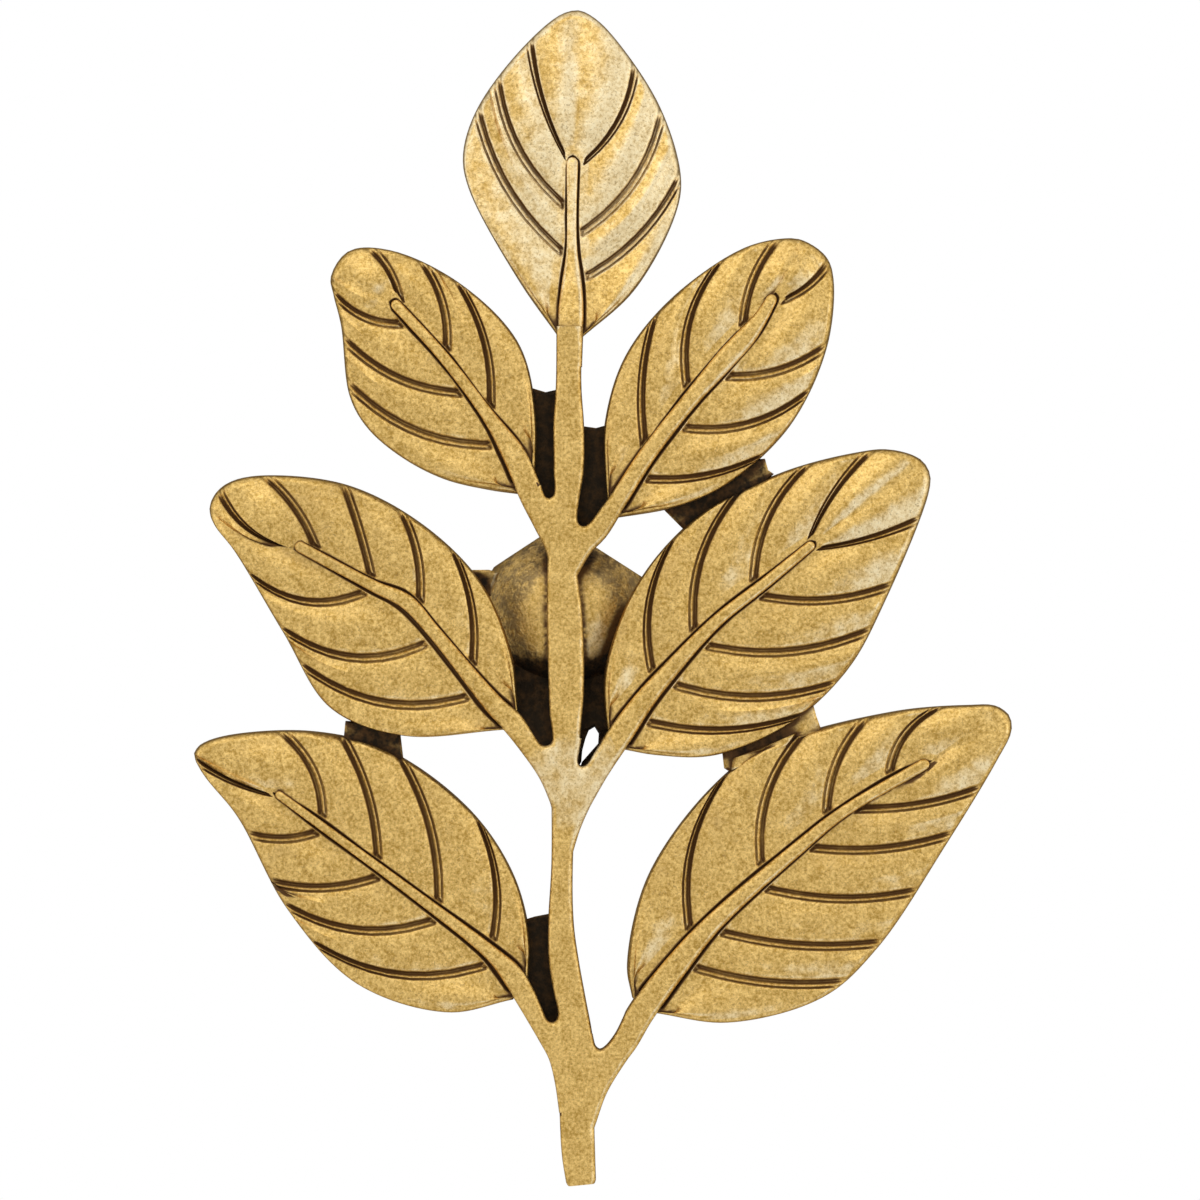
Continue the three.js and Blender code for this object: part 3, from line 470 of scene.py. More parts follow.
def read_vein(spine, margin, vein):
    """Where a drawn vein leaves the midrib and meets the margin, and how it bows and slants."""
    start, middle, end = (np.array(point, float) for point in vein)
    rib = spine.nearest(start)
    edge = margin.nearest(end)
    a = spine.at(rib)[:2]
    b = margin.at(edge)[:2]
    chord = b - a
    offset = middle - a
    reach = offset @ chord / (chord @ chord)
    aside = (chord[0] * offset[1] - chord[1] * offset[0]) / (chord @ chord)
    bow = aside / (4 * reach * (1 - reach))
    control = (a + b) / 2 + 2 * bow * np.array([-chord[1], chord[0]])

    def slant(way, line):
        sine = abs(way[0] * line[1] - way[1] * line[0]) / np.linalg.norm(way)
        return 1 / max(sine, LEAST_SINE)

    return {
        "rib": rib, "edge": edge, "bow": bow,
        "rib_slant": slant(control - a, spine.along(rib)),
        "edge_slant": slant(b - control, margin.along(edge)),
    }


def shifted(spine, margin, vein, distance):
    """The cross line that runs beside a vein at a distance."""
    rib = vein["rib"] + distance * vein["rib_slant"] / spine.length
    edge = vein["edge"] + distance * vein["edge_slant"] / margin.length
    return [rib, edge, vein["bow"]]


def side_stretches(spine, margin, veins, tip_bow):
    """The bare stretches between base, veins and tip, each with the vein lines that end it."""
    stretches = []
    start = [0.0, 0.0, 0.0]
    for vein in veins:
        lines = [
            [*shifted(spine, margin, vein, d), vein_profile(d), joined_profile(d)] for d in VEIN_LINES
        ]
        stretches.append({"from": start, "to": lines[0][:3], "lines": lines})
        start = lines[-1][:3]
    tip = [1.0, 1.0, tip_bow]
    stretches.append({"from": start, "to": tip, "lines": [[*tip, 0.0, 0.0]]})
    for stretch in stretches:
        stretch["width"] = (stretch["to"][1] - stretch["from"][1]) * margin.length
        stretch["fills"] = max(1, round(stretch["width"] / FILL_PITCH) - 1)
    return stretches


def line_count(stretches):
    return 1 + sum(stretch["fills"] + len(stretch["lines"]) for stretch in stretches)


def cross_lines(spine, margin, stretches, wanted):
    """Rows of rib share, margin share, bow, height and height at a vein's end, as many as wanted."""
    plan = [dict(stretch) for stretch in stretches]
    while line_count(plan) < wanted:
        widest = max(plan, key=lambda stretch: stretch["width"] / (stretch["fills"] + 1))
        widest["fills"] += 1
    rows = [[*plan[0]["from"], 0.0, 0.0]]
    for stretch in plan:
        low = np.array(stretch["from"])
        high = np.array(stretch["to"])
        for k in range(1, stretch["fills"] + 1):
            share = k / (stretch["fills"] + 1)
            rows.append([*(low + (high - low) * share), PILLOW * math.sin(math.pi * share), 0.0])
        rows.extend(stretch["lines"])
    rows = np.array(rows)
    order = np.arange(len(rows))
    for column, curve in ((0, spine), (1, margin)):
        least = order * ROW_GAP / curve.length
        rows[:, column] = np.clip(rows[:, column], least, 1 - least[::-1])
    return rows


# %% Corners along a cross line, and the blade they make
NEAR_RIB = np.array([-0.06, 0.04, 0.12, 0.2, 0.29, 0.38, 0.48, 0.58, 0.7, 0.88, 1.1])
NEAR_EDGE = np.array([1.1, 0.84, 0.64, 0.47, 0.33, 0.22, 0.15, 0.12])
WALL = [(0.08, 1.1), (0.02, 1.7), (0.0, 2.12), (0.1, 2.27), (0.4, 2.3)]
MIDDLE_CORNERS = 6
BACK_SHARES = [0.62, 0.3]
SHORT_LINE = 3.6


def side_corners(leaf, spine, margin, rows):
    """Points of one side, from beside the midrib over the margin and in along the back."""
    start = spine.at(rows[:, 0])
    end = margin.at(rows[:, 1])[:, :2]
    chord = end - start[:, :2]
    length = np.linalg.norm(chord, axis=1, keepdims=True)
    bend = 2 * rows[:, 2:3] * np.stack([-chord[:, 1], chord[:, 0]], axis=1)
    control = (start[:, :2] + end) / 2 + bend
    tight = np.minimum(1, length / SHORT_LINE)
    half_width = np.minimum(start[:, 2:3], 0.4 * length)

    near = half_width + tight * NEAR_RIB
    far = length - tight * NEAR_EDGE
    shares = np.arange(1, MIDDLE_CORNERS + 1) / (MIDDLE_CORNERS + 1)
    middle = near[:, -1:] + (far[:, :1] - near[:, -1:]) * shares
    across = np.hstack([near, middle, far])

    rib_gap = (across - half_width) / tight
    groove_end = RIB_GROOVE_GAP + RIB_GROOVE_RUN
    rib_groove = RIB_GROOVE_DEPTH * (1 - smooth_step(RIB_GROOVE_GAP, groove_end, rib_gap))
    run = np.clip((across - near[:, -1:]) / (far[:, :1] - near[:, -1:]), 0, 1)
    carve, end_carve = rows[:, 3:4], rows[:, 4:5]
    to_nose = (1 - rows[:, 0:1]) * spine.length
    stop = VEIN_STOP + NOSE_STOP * (1 - smooth_step(0, NOSE_REACH, to_nose))
    begun = smooth_step(stop, stop + VEIN_STOP_RUN, rib_gap)
    parted = smooth_step(stop + VEIN_STOP_RUN, stop + 2 * VEIN_STOP_RUN, rib_gap)
    carved = np.minimum(end_carve, 0) * begun * (1 - parted) + np.minimum(carve, 0) * parted
    carved = carved * (1 - VEIN_FADE * (1 - smooth_step(0, VEIN_FADE_RUN, run)))
    swelling = np.maximum(carve, 0) * smooth_step(0, 0.2, run)
    height = carved + swelling - rib_groove + CROWN * np.sin(math.pi * run)
    radius = EDGE_ROUND - EDGE_DRAFT
    over = np.clip((across - (length - tight * EDGE_ROUND)) / (tight * radius), 0, 1)
    height = height - radius * (1 - np.sqrt(1 - over**2))

    wall_across = np.hstack([length - tight * inward for inward, _ in WALL])
    wall_height = np.hstack([np.full_like(length, -drop) for _, drop in WALL])
    back_across = np.hstack([length * share for share in BACK_SHARES] + [0.6 * half_width])
    back_height = np.full_like(back_across, -BLADE_THICKNESS)
    across = np.hstack([across, wall_across, back_across])
    height = np.hstack([height, wall_height, back_height])

    t = (across / length)[..., None]
    spots = (
        (1 - t) ** 2 * start[:, None, :2] + 2 * t * (1 - t) * control[:, None] + t**2 * end[:, None]
    )
    return in_space(spots, BLADE_FACE + height - fall_at(leaf, spots))


def make_blade(name, leaf):
    rib = Curve(leaf["rib"])
    spine = rib.part(rib.nearest(leaf["base"]), 1 - leaf["rib"][-1][2] / rib.length)
    sides = []
    for side, other_side in zip(leaf["sides"], leaf["sides"][::-1]):
        outline = Curve([*side["margin"], leaf["tip"], other_side["margin"][-1]])
        margin = outline.part(0, outline.nearest(leaf["tip"]))
        veins = [read_vein(spine, margin, vein) for vein in side["veins"]]
        sides.append((margin, side_stretches(spine, margin, veins, leaf["tip_bow"])))
    wanted = max(line_count(stretches) for _, stretches in sides)
    left, right = (
        side_corners(leaf, spine, margin, cross_lines(spine, margin, stretches, wanted))
        for margin, stretches in sides
    )
    left[-1] = right[-1]
    return loft(name + "_blade", np.concatenate([left[:, ::-1], right], axis=1), folded_end=True)


blades = [make_blade(name, leaf) for name, leaf in LEAVES.items()]
print("blades:", sum(len(blade.data.polygons) for blade in blades), "faces")

# %% [markdown]
# ## Stem and midribs
# The stem and each branch are flat-topped bars with rounded front edges. A curve with a bevel
# would give a round wire, so they are lofts too: the section is drawn once, scaled to the
# bar's width, and stood across the line at every step. A midrib ends in a rounded nose.

# %% Bars
BAR_PITCH = 0.45
EDGE_ARC = np.radians([0, 18, 36, 54, 72, 90])
NOSE = np.sin(np.radians([15, 30, 45, 58, 70, 79, 86]))
FOOT_TRIM = [(0.0, 0.86), (0.1, 0.94), (0.3, 1.0)]
RELIEF_RUN = (0.27, 0.6)
WALL_STEPS = 6
WALL_SHARE = 0.93
BACK_SHARE = 0.85
TOP_SHARE = 0.4
EDGE_SHARE = 0.6
NOSE_DIP = 0.5


def bar_section(half_width, drop):
    """Offsets and heights round a bar, the heights measured from its flat top."""
    edge = min(BAR_EDGE_ROUND, EDGE_SHARE * half_width)
    arc = [(half_width - edge + edge * math.cos(a), edge * math.sin(a) - edge) for a in EDGE_ARC]
    wall = [(half_width, height) for height in np.linspace(-edge, -WALL_SHARE * drop, WALL_STEPS)[1:]]
    side = [*wall, (BACK_SHARE * half_width, -drop)]
    half = [*side[::-1], *arc, (TOP_SHARE * (half_width - edge), 0.0)]
    return np.array([*half, *[(-offset, height) for offset, height in half[::-1]]])


def make_bar(name, points, leaf=None, nose=True):
    line = Curve(points)
    end_reach = points[-1][2] / line.length if nose else 0
    steps = max(4, round(line.length * (1 - end_reach) / BAR_PITCH))
    stations = [((1 - end_reach) * i / steps, 1.0, 0.0) for i in range(steps + 1)]
    if nose:
        stations += [(1 - end_reach + end_reach * r, math.sqrt(1 - r * r), r) for r in NOSE]
    else:
        stations = [(d / line.length, n, 0.0) for d, n in FOOT_TRIM] + stations[1:]
    sections = []
    for share, narrowing, nosing in stations:
        centre = line.at(share)
        ahead = line.along(share)
        half_width = centre[2] * narrowing
        thinning = smooth_step(*RELIEF_RUN, share) if leaf else 0
        relief = STEM_RELIEF + (THIN_RIB_RELIEF - STEM_RELIEF) * thinning
        dip = centre[2] * NOSE_DIP * (1 - math.sqrt(1 - nosing**2))
        section = bar_section(half_width, BLADE_THICKNESS + RIB_BACK_RELIEF + relief - dip)
        spots = centre[:2] + section[:, :1] * np.array([ahead[1], -ahead[0]])
        lean = 0 if leaf is None else fall_at(leaf, centre[:2])
        sections.append(in_space(spots, BLADE_FACE + relief - dip + section[:, 1] - lean))
    return loft(name, np.array(sections))


bars = [make_bar("stem", STEM, nose=False)]
bars += [make_bar(name + "_midrib", leaf["rib"], leaf) for name, leaf in LEAVES.items()]
print("bars:", sum(len(bar.data.polygons) for bar in bars), "faces")

# %% [markdown]
# ## Forks
# Where two branches leave the stem the pattern maker has filed the crossing flat and opened each
# crotch with a round file. So a flat plate covers each crossing, and a slot with a rounded
# bottom and a rounded front edge is cut into each crotch, through bars and plate together.

# %% Fork plates and the slots between branches and stem
FORK_PLATES = [
    [[-1.0, 4.6], [0.9, 4.6], [1.7, 5.6], [2.5, 6.7], [3.0, 7.6], [3.2, 8.6], [2.2, 8.4], [0.9, 9.4],
     [-1.2, 10.2], [-2.2, 10.2], [-2.9, 9.6], [-2.95, 8.9], [-2.2, 7.5], [-1.6, 6.3]],
    [[-0.6, -14.4], [1.0, -14.9], [1.55, -14.1], [2.2, -13.0], [2.85, -12.0], [3.4, -11.1],
     [3.8, -10.4], [3.3, -9.4], [1.9, -9.9], [0.9, -9.5], [0.6, -8.5], [-0.8, -8.5], [-1.4, -9.3],
     [-2.4, -9.3], [-3.3, -8.9], [-3.9, -9.3], [-3.5, -9.9], [-2.65, -11.05], [-1.8, -12.3],
     [-1.1, -13.5]],
    [[-0.35, -37.2], [1.8, -38.0], [2.4, -37.0], [3.1, -36.0], [3.85, -34.9], [4.6, -33.9],
     [5.35, -32.7], [5.5, -31.8], [4.9, -31.2], [4.0, -32.0], [2.9, -33.0], [2.2, -33.0],
     [1.5, -32.2], [1.2, -30.8], [-0.5, -30.8], [-1.2, -31.2], [-2.2, -30.6], [-3.0, -30.2],
     [-3.35, -30.5], [-2.45, -32.0], [-1.6, -33.4], [-0.88, -34.8], [-0.45, -36.0]],
]
SLOTS = [
    [[-2.58, 11.9], [-2.25, 10.9], [-1.96, 9.86], [-1.8, 9.42], [-1.5, 9.22], [-1.17, 9.42],
     [-1.06, 9.86], [-1.1, 10.8], [-1.25, 11.9]],
    [[1.35, 11.5], [1.08, 10.2], [0.88, 8.94], [0.75, 7.76], [0.83, 7.25], [1.19, 7.02],
     [1.62, 7.23], [2.35, 8.15], [2.95, 9.15]],
    [[-3.72, -7.4], [-2.96, -8.7], [-2.4, -9.66], [-2.12, -10.0], [-1.76, -10.1], [-1.36, -9.95],
     [-1.22, -9.6], [-1.33, -8.4], [-1.5, -7.4]],
    [[1.4, -8.2], [1.12, -9.4], [0.95, -10.4], [0.8, -11.2], [0.85, -11.58], [1.12, -11.7],
     [1.45, -11.55], [2.0, -10.7], [2.55, -9.85], [3.12, -8.8]],
    [[-2.95, -28.3], [-2.44, -29.6], [-1.92, -30.8], [-1.65, -31.45], [-1.3, -31.68], [-0.92, -31.5],
     [-0.79, -31.06], [-0.92, -30.2], [-1.22, -29.2]],
    [[1.55, -29.8], [1.76, -31.5], [2.0, -33.03], [2.18, -33.62], [2.5, -33.84], [2.82, -33.68],
     [3.12, -33.4], [3.7, -32.6], [4.25, -31.5], [4.66, -30.5]],
]
PLATE_FACE = BLADE_FACE + STEM_RELIEF
PLATE_BACK = BLADE_FACE - BLADE_THICKNESS
SLOT_POINTS = 48
SLOT_RINGS = [(0.6, 0.34), (0.02, 0.32), (-0.06, 0.17), (-0.16, 0.07), (-0.32, 0.0), (-5.0, 0.0)]


def prism(name, rings):
    """A solid from one outline after another, each at its own height in front of the door."""
    return loft(name, np.array([in_space(grown, np.full(len(grown), height)) for grown, height in rings]))


def make_slot(name, points):
    """A cutter that widens towards the front, so that it leaves a rounded front edge."""
    line = Curve(points)
    shares = np.linspace(0, 1, SLOT_POINTS)
    spots = line.at(shares)[:, :2]
    ways = np.gradient(spots, axis=0)
    ways /= np.linalg.norm(ways, axis=1, keepdims=True)
    outward = np.stack([ways[:, 1], -ways[:, 0]], axis=1)
    if outward[SLOT_POINTS // 2, 1] > 0:
        outward = -outward
    return prism(name, [(spots + outward * wider, PLATE_FACE + height) for height, wider in SLOT_RINGS])


plates = [
    prism(f"plate_{i}", [(np.array(outline), PLATE_FACE), (np.array(outline), PLATE_BACK)])
    for i, outline in enumerate(FORK_PLATES)
]
slots = [make_slot(f"slot_{i}", points) for i, points in enumerate(SLOTS)]
print(len(plates), "fork plates and", len(slots), "slots")

# %% [markdown]
# ## Webs between the leaves
# Molten metal needs a way to every leaf, and thin tips break, so the pattern maker leaves low
# webs where leaves nearly meet. They lie deep, where the patina is never rubbed off, and their
# darkness is that patina together with painted shade. Each is a drawn outline with a soft front
# edge, filled by rings that sink a little towards its middle.

# %% Webs
WEB_THICKNESS = 1.0
WEB_EDGE = 0.25
WEB_STEP = 0.5
WEB_RINGS = [(0.1, 0.12), (0.4, 0.1), (0.7, 0.05)]
# Each web: how far its first corner lies behind the blades' face, how much further back the
# face runs for each millimetre upward, how dark it is, as patina with painted shade, and its outline.
WEBS = [
    (1.1, 0, 0.95, [[-3.4, 8.7], [-0.4, 8.2], [0, 17.9], [-1.75, 17.5], [-3.4, 18.0]]),
    (1.1, 0, 1.0, [[0, 6.0], [1.6, 6.4], [3.0, 7.6], [4.2, 8.6], [4.0, 15.2], [2.2, 14.7], [0, 15.0]]),
    (1.2, 0, 0.62, [[7.2, 8.6], [9.2, 6.6], [13.0, 8.2], [16.1, 11.1], [15.65, 11.4], [15.4, 12.3],
                    [13.2, 12.2], [9.6, 10.2]]),
    (2.0, 0, 0.6, [[-8.2, 3.6], [-6.2, 3.62], [-5.4, 3.4], [-6.0, 1.6], [-7.4, 0.8]]),
    (3.9, 0.45, 0.95, [[-5.2, -3.6], [-4.9, -8.7], [-2.9, -10.5], [-0.9, -10.8], [0, -9.4], [0, -3.6]]),
    (3.9, 0.45, 1.0, [[0, -3.6], [4.2, -3.6], [4.4, -8.4], [3.3, -9.0], [2.4, -9.2], [2.08, -8.68],
                      [1.62, -8.95], [0.6, -9.2], [0, -9.0]]),
    (1.3, 0, 1.0, [[0.5, -9.0], [1.62, -8.95], [1.36, -9.6], [1.12, -10.5], [1.04, -11.4], [0.7, -12.0],
                   [0.4, -11.0]]),
    (1.3, 0, 1.0, [[1.08, -11.42], [2.35, -9.98], [3.1, -9.9], [1.5, -12.1], [0.9, -12.0]]),
    (1.3, 0, 1.0, [[2.35, -10.02], [2.4, -9.2], [2.2, -8.8], [3.4, -8.5], [3.3, -10.0]]),
    (1.0, 0, 0.62, [[-17.4, -8.2], [-13.2, -8.4], [-12.8, -11.8], [-15.6, -10.9], [-17.6, -10.2]]),
    (0.7, 0, 0.35, [[12.2, -11.9], [12.0, -10.2], [18.7, -6.6], [19.2, -7.05], [19.4, -7.8],
                   [19.8, -8.9], [15.0, -11.0], [13.0, -12.4]]),
    (0.25, 0, 0.1, [[12.7, -12.1], [17.3, -10.0], [17.9, -9.1], [12.9, -11.1]]),
    (1.1, 0, 1.0, [[-3.9, -23.9], [-2.6, -23.5], [0, -23.0], [0, -32.6], [-1.6, -32.6], [-3.9, -28.6]]),
]


def split_edges(outline):
    """The same outline with points every WEB_STEP or closer."""
    corners = []
    for start, end in zip(outline, np.roll(outline, -1, axis=0)):
        steps = math.ceil(np.linalg.norm(end - start) / WEB_STEP)
        corners += [start + (end - start) * k / steps for k in range(steps)]
    return np.array(corners)


def web_face(setback, slope, outline, spots):
    """Height of a web's face at [x, z] places."""
    return BLADE_FACE - setback - slope * (spots[:, 1] - outline[0][1])


def make_web(name, setback, slope, outline):
    outer = split_edges(np.array(outline, float))
    centre = outer.mean(axis=0)
    reach = np.linalg.norm(outer - centre, axis=1, keepdims=True)
    inner = centre + (outer - centre) * (1 - WEB_EDGE / reach)
    layers = [(centre + (inner - centre) * share, sag) for share, sag in WEB_RINGS]
    layers += [(inner, 0.0), (outer, WEB_EDGE), (outer, WEB_THICKNESS)]
    rings = [in_space(ring, web_face(setback, slope, outline, ring) - sag) for ring, sag in layers]
    return loft(name, np.array(rings))


webs = [
    make_web(f"web_{i}", setback, slope, outline) for i, (setback, slope, _, outline) in enumerate(WEBS)
]
print(len(webs), "webs")

# %% [markdown]
# ## Post and screw hole
# The post is turned, so it is a profile spun about the screw's axis. Its head is a dome that
# runs into the back of the leaves, with a flat shoulder filed on each side above. The hole is cut with a screw-shaped tool: a cylinder whose
# radius rises and falls once in every pitch and shifts with the angle, which is a real thread.

# %% Post
POST_HEAD_RADIUS = 7.0
POST_HEAD_SETBACK = 5.2
POST_NECK_RADIUS = 4.3
POST_NECK_HEIGHT = 6.5
POST_FOOT_RADIUS = 5.6
POST_FOOT_HEIGHT = 1.6
POST_FOOT_CHAMFER = 0.4
POST_SINK = 0.9
POST_SEGMENTS = 96
# What is cut off the head at the upper left and the upper right, seen from the front.
SHOULDERS = [
    [[-8.6, 2.04], [0.6, 8.06], [-2.0, 10.0], [-9.6, 4.0]],
    [[1.0, 6.14], [8.0, 1.66], [9.0, 3.0], [2.0, 8.0]],
]


def turned(name, profile, segments):
    """A closed solid of revolution about the Y axis, from radius and height off the door."""
    angles = np.arange(segments) / segments * 2 * math.pi
    ring = np.stack([np.cos(angles), np.zeros(segments), np.sin(angles)], axis=1)
    rows = [radius * ring - [0, height, 0] for radius, height in profile]
    return loft(name, np.array(rows))


head_height = BLADE_BACK - POST_HEAD_SETBACK
crown_height = BLADE_BACK + POST_SINK
steps = np.linspace(0, 1, 25)[1:]
post_profile = []
for angle in EDGE_ARC:
    post_profile.append((
        POST_FOOT_RADIUS - POST_FOOT_CHAMFER * (1 - math.sin(angle)),
        POST_FOOT_CHAMFER * (1 - math.cos(angle)),
    ))
post_profile.append((POST_FOOT_RADIUS, POST_FOOT_HEIGHT))
for share in steps:
    post_profile.append((
        POST_FOOT_RADIUS + (POST_NECK_RADIUS - POST_FOOT_RADIUS) * math.sin(share * math.pi / 2),
        POST_FOOT_HEIGHT + (POST_NECK_HEIGHT - POST_FOOT_HEIGHT) * smooth_step(0, 1, share),
    ))
for share in steps:
    post_profile.append((
        POST_NECK_RADIUS + (POST_HEAD_RADIUS - POST_NECK_RADIUS) * smooth_step(0, 1, share),
        POST_NECK_HEIGHT + (head_height - POST_NECK_HEIGHT) * share,
    ))
for share in steps:
    post_profile.append((
        max(POST_HEAD_RADIUS * math.cos(share * math.pi / 2), 0.05),
        head_height + (crown_height - head_height) * math.sin(share * math.pi / 2),
    ))
turned_post = turned("post", post_profile, POST_SEGMENTS)
shoulder_cutters = [
    prism(f"shoulder_{i}", [(np.array(outline), BLADE_FACE), (np.array(outline), POST_NECK_HEIGHT)])
    for i, outline in enumerate(SHOULDERS)
]
print("post head", 2 * POST_HEAD_RADIUS, "mm across")

# %% Threaded cutter for the screw hole
THREAD_MAJOR = 4.17 / 2
THREAD_MINOR = 3.5 / 2
THREAD_PITCH = 25.4 / 32
HOLE_DEPTH = 12.0
HOLE_MOUTH = 2.35
HOLE_TIP = 1.0
THREAD_SEGMENTS = 48
THREAD_ROWS = 150


def make_thread_cutter():
    angles = np.arange(THREAD_SEGMENTS) / THREAD_SEGMENTS * 2 * math.pi
    heights = np.linspace(-0.5, HOLE_DEPTH, THREAD_ROWS)[:, None]
    phase = (heights / THREAD_PITCH + angles / (2 * math.pi)) % 1
    ridge = smooth_step(0.15, 0.85, 1 - np.abs(2 * phase - 1))
    radius = THREAD_MINOR + (THREAD_MAJOR - THREAD_MINOR) * ridge
    radius = np.maximum(radius, HOLE_MOUTH - heights)
    ring = np.stack([np.cos(angles), np.zeros(THREAD_SEGMENTS), np.sin(angles)], axis=1)
    rows = radius[..., None] * ring - heights[..., None] * np.array([0, 1, 0])
    tip = 0.05 * ring - np.array([0, HOLE_DEPTH + HOLE_TIP, 0])
    return loft("thread_cutter", np.concatenate([rows, tip[None]]))


thread_cutter = make_thread_cutter()
print("thread of", round(HOLE_DEPTH / THREAD_PITCH), "turns")

# %% [markdown]
# ## One casting
# The parts are joined by boolean unions, so the result has no hidden faces inside, as a real
# casting has none. Then the surface is measured at every point, because that decides its
# colour: how deep a point sits in a groove and among its neighbours, where patina stays and,
# in deep corners, painted shade is added; how sharply it bulges, where rubbing takes the patina
# off; how it leans, for a painted highlight on faces turned to the lower right and a painted
# shade on faces turned to the upper left, with listed patches of both; and whether it lies on a
# web or on the post, which nobody polished and where painted shade is added as well.

# %% Join and cut
SHARP_ANGLE = math.radians(38)
LONGEST_EDGE = 1.2 * MM
TOP_SLACK = 0.06
REFINE_ROUNDS = 4


def on_flat_top(edge):
    return all(-vertex.co.y > (PLATE_FACE - TOP_SLACK) * MM for vertex in edge.verts)


def refine(mesh):
    """Splits long edges on the flat top of stem and forks, where few faces would carry the edge wear and the
    painted highlight.
    """
    shape = bmesh.new()
    shape.from_mesh(mesh)
    bmesh.ops.triangulate(shape, faces=shape.faces)
    for _ in range(REFINE_ROUNDS):
        long_edges = [
            edge for edge in shape.edges if edge.calc_length() > LONGEST_EDGE and on_flat_top(edge)
        ]
        bmesh.ops.subdivide_edges(shape, edges=long_edges, cuts=1)
        bmesh.ops.triangulate(shape, faces=shape.faces)
    bmesh.ops.dissolve_degenerate(shape, edges=shape.edges, dist=WELD)
    bmesh.ops.triangulate(shape, faces=shape.faces)
    shape.to_mesh(mesh)
    shape.free()


def joined(name, base, steps):
    """One object from a base and the solids joined to it or cut from it, in order."""
    for operation, solids in steps:
        for solid in solids:
            change = base.modifiers.new(operation.lower(), "BOOLEAN")
            change.operation = operation
            change.solver = "MANIFOLD"
            change.object = solid
    graph = bpy.context.evaluated_depsgraph_get()
    mesh = bpy.data.meshes.new_from_object(base.evaluated_get(graph))
    mesh.name = name
    for spent in [base, *(solid for _, solids in steps for solid in solids)]:
        bpy.data.objects.remove(spent)
    whole = bpy.data.objects.new(name, mesh)
    bpy.context.scene.collection.objects.link(whole)
    return whole


post = joined("post", turned_post, [("DIFFERENCE", shoulder_cutters)])
casting = joined("sprig_casting", bars[0], [
    ("UNION", [*bars[1:], *plates]), ("DIFFERENCE", slots),
    ("UNION", [*blades, *webs, post]), ("DIFFERENCE", [thread_cutter]),
])
refine(casting.data)
casting.data.shade_smooth()
casting.data.set_sharp_from_angle(angle=SHARP_ANGLE)
casting.data.calc_loop_triangles()
print("casting:", len(casting.data.loop_triangles), "triangles")

# %% Measure the recesses, the edges, and where highlight and shade are painted
RAY_COUNT = 22
GROOVE_REACH = 1.1 * MM
RECESS_REACH = 7.0 * MM
RAY_LIFT = 0.02 * MM
RECESS_ROUNDS = 3
LOW_ROUNDS = 2
# Painted shade on the post's head: darker towards its bottom, and by a smaller amount towards its top.
LOWER_SHADE = (-5.6, -1.0)
UPPER_SHADE = (1.5, 4.5)
UPPER_SHADE_AMOUNT = 0.45
# Painted light by facing: flat faces turned to the lower right get a painted highlight, those turned to the
# upper left a painted shade.
PAINTED_SHEEN_SIDE = np.array([0.6, 0.0, -0.8])
PAINTED_SHEEN_GAIN = 2.4
FLAT_ENOUGH = 0.7
# Painted light patches: x and z of the middle, radius, and how pale as painted highlight (above 0) or how
# dark as painted shade (below 0).
PAINTED_LIGHT_PATCHES = [
    (0.5, 37.0, 16.0, 0.95), (0.6, -13.0, 5.0, 0.7), (25.5, 8.0, 6.5, 0.35), (14.5, 18.5, 5.0, 0.3),
    (-18.0, 7.0, 6.0, -0.45), (7.5, 0.5, 5.0, -0.5), (9.5, -17.5, 6.0, -0.35), (-12.0, -14.0, 6.0, -0.25),
    (-19.5, -19.5, 7.0, -0.3), (24.0, -20.5, 7.5, -0.25), (-4.5, 16.5, 4.0, -0.3), (3.8, 14.5, 4.0, -0.3),
]


def hemisphere(count):
    """Directions spread evenly over a half sphere about Z, more of them near Z."""
    k = np.arange(count) + 0.5
    turn = k * math.pi * (3 - math.sqrt(5))
    radius = np.sqrt(k / count) * 0.98
    return np.stack([radius * np.cos(turn), radius * np.sin(turn), np.sqrt(1 - radius**2)], axis=1)


def broad_normals(mesh):
    """Normals at the vertices in which every triangle counts by its area, so slivers tilt none."""
    places = np.array([vertex.co for vertex in mesh.vertices])
    corners = np.array([face.vertices for face in mesh.polygons])
    a, b, c = (places[corners[:, i]] for i in range(3))
    facing = np.cross(b - a, c - a)
    normals = np.zeros_like(places)
    for i in range(3):
        np.add.at(normals, corners[:, i], facing)
    return normals / np.maximum(np.linalg.norm(normals, axis=1, keepdims=True), 1e-15)


def measure_recesses(mesh):
    """Near and far shelter of each vertex, from 0 in the open to 1 when closed in."""
    count = len(mesh.vertices)
    places = np.empty(count * 3)
    mesh.vertices.foreach_get("co", places)
    places = places.reshape(-1, 3)
    normals = broad_normals(mesh)
    helper = np.where(np.abs(normals[:, 2:3]) < 0.9, [[0.0, 0.0, 1.0]], [[1.0, 0.0, 0.0]])
    side = np.cross(helper, normals)
    side /= np.linalg.norm(side, axis=1, keepdims=True)
    other = np.cross(normals, side)
    tree = BVHTree.FromPolygons(
        [vertex.co for vertex in mesh.vertices], [face.vertices for face in mesh.polygons]
    )
    rays = hemisphere(RAY_COUNT)
    near = np.zeros(count)
    far = np.zeros(count)
    for i in range(count):
        origin = Vector(places[i] + normals[i] * RAY_LIFT)
        frame_axes = np.stack([side[i], other[i], normals[i]])
        for way in rays @ frame_axes:
            distance = tree.ray_cast(origin, Vector(way), RECESS_REACH)[3]
            if distance is not None:
                near[i] += max(0, 1 - distance / GROOVE_REACH)
                far[i] += 1 - distance / RECESS_REACH
    return near / RAY_COUNT, far / RAY_COUNT


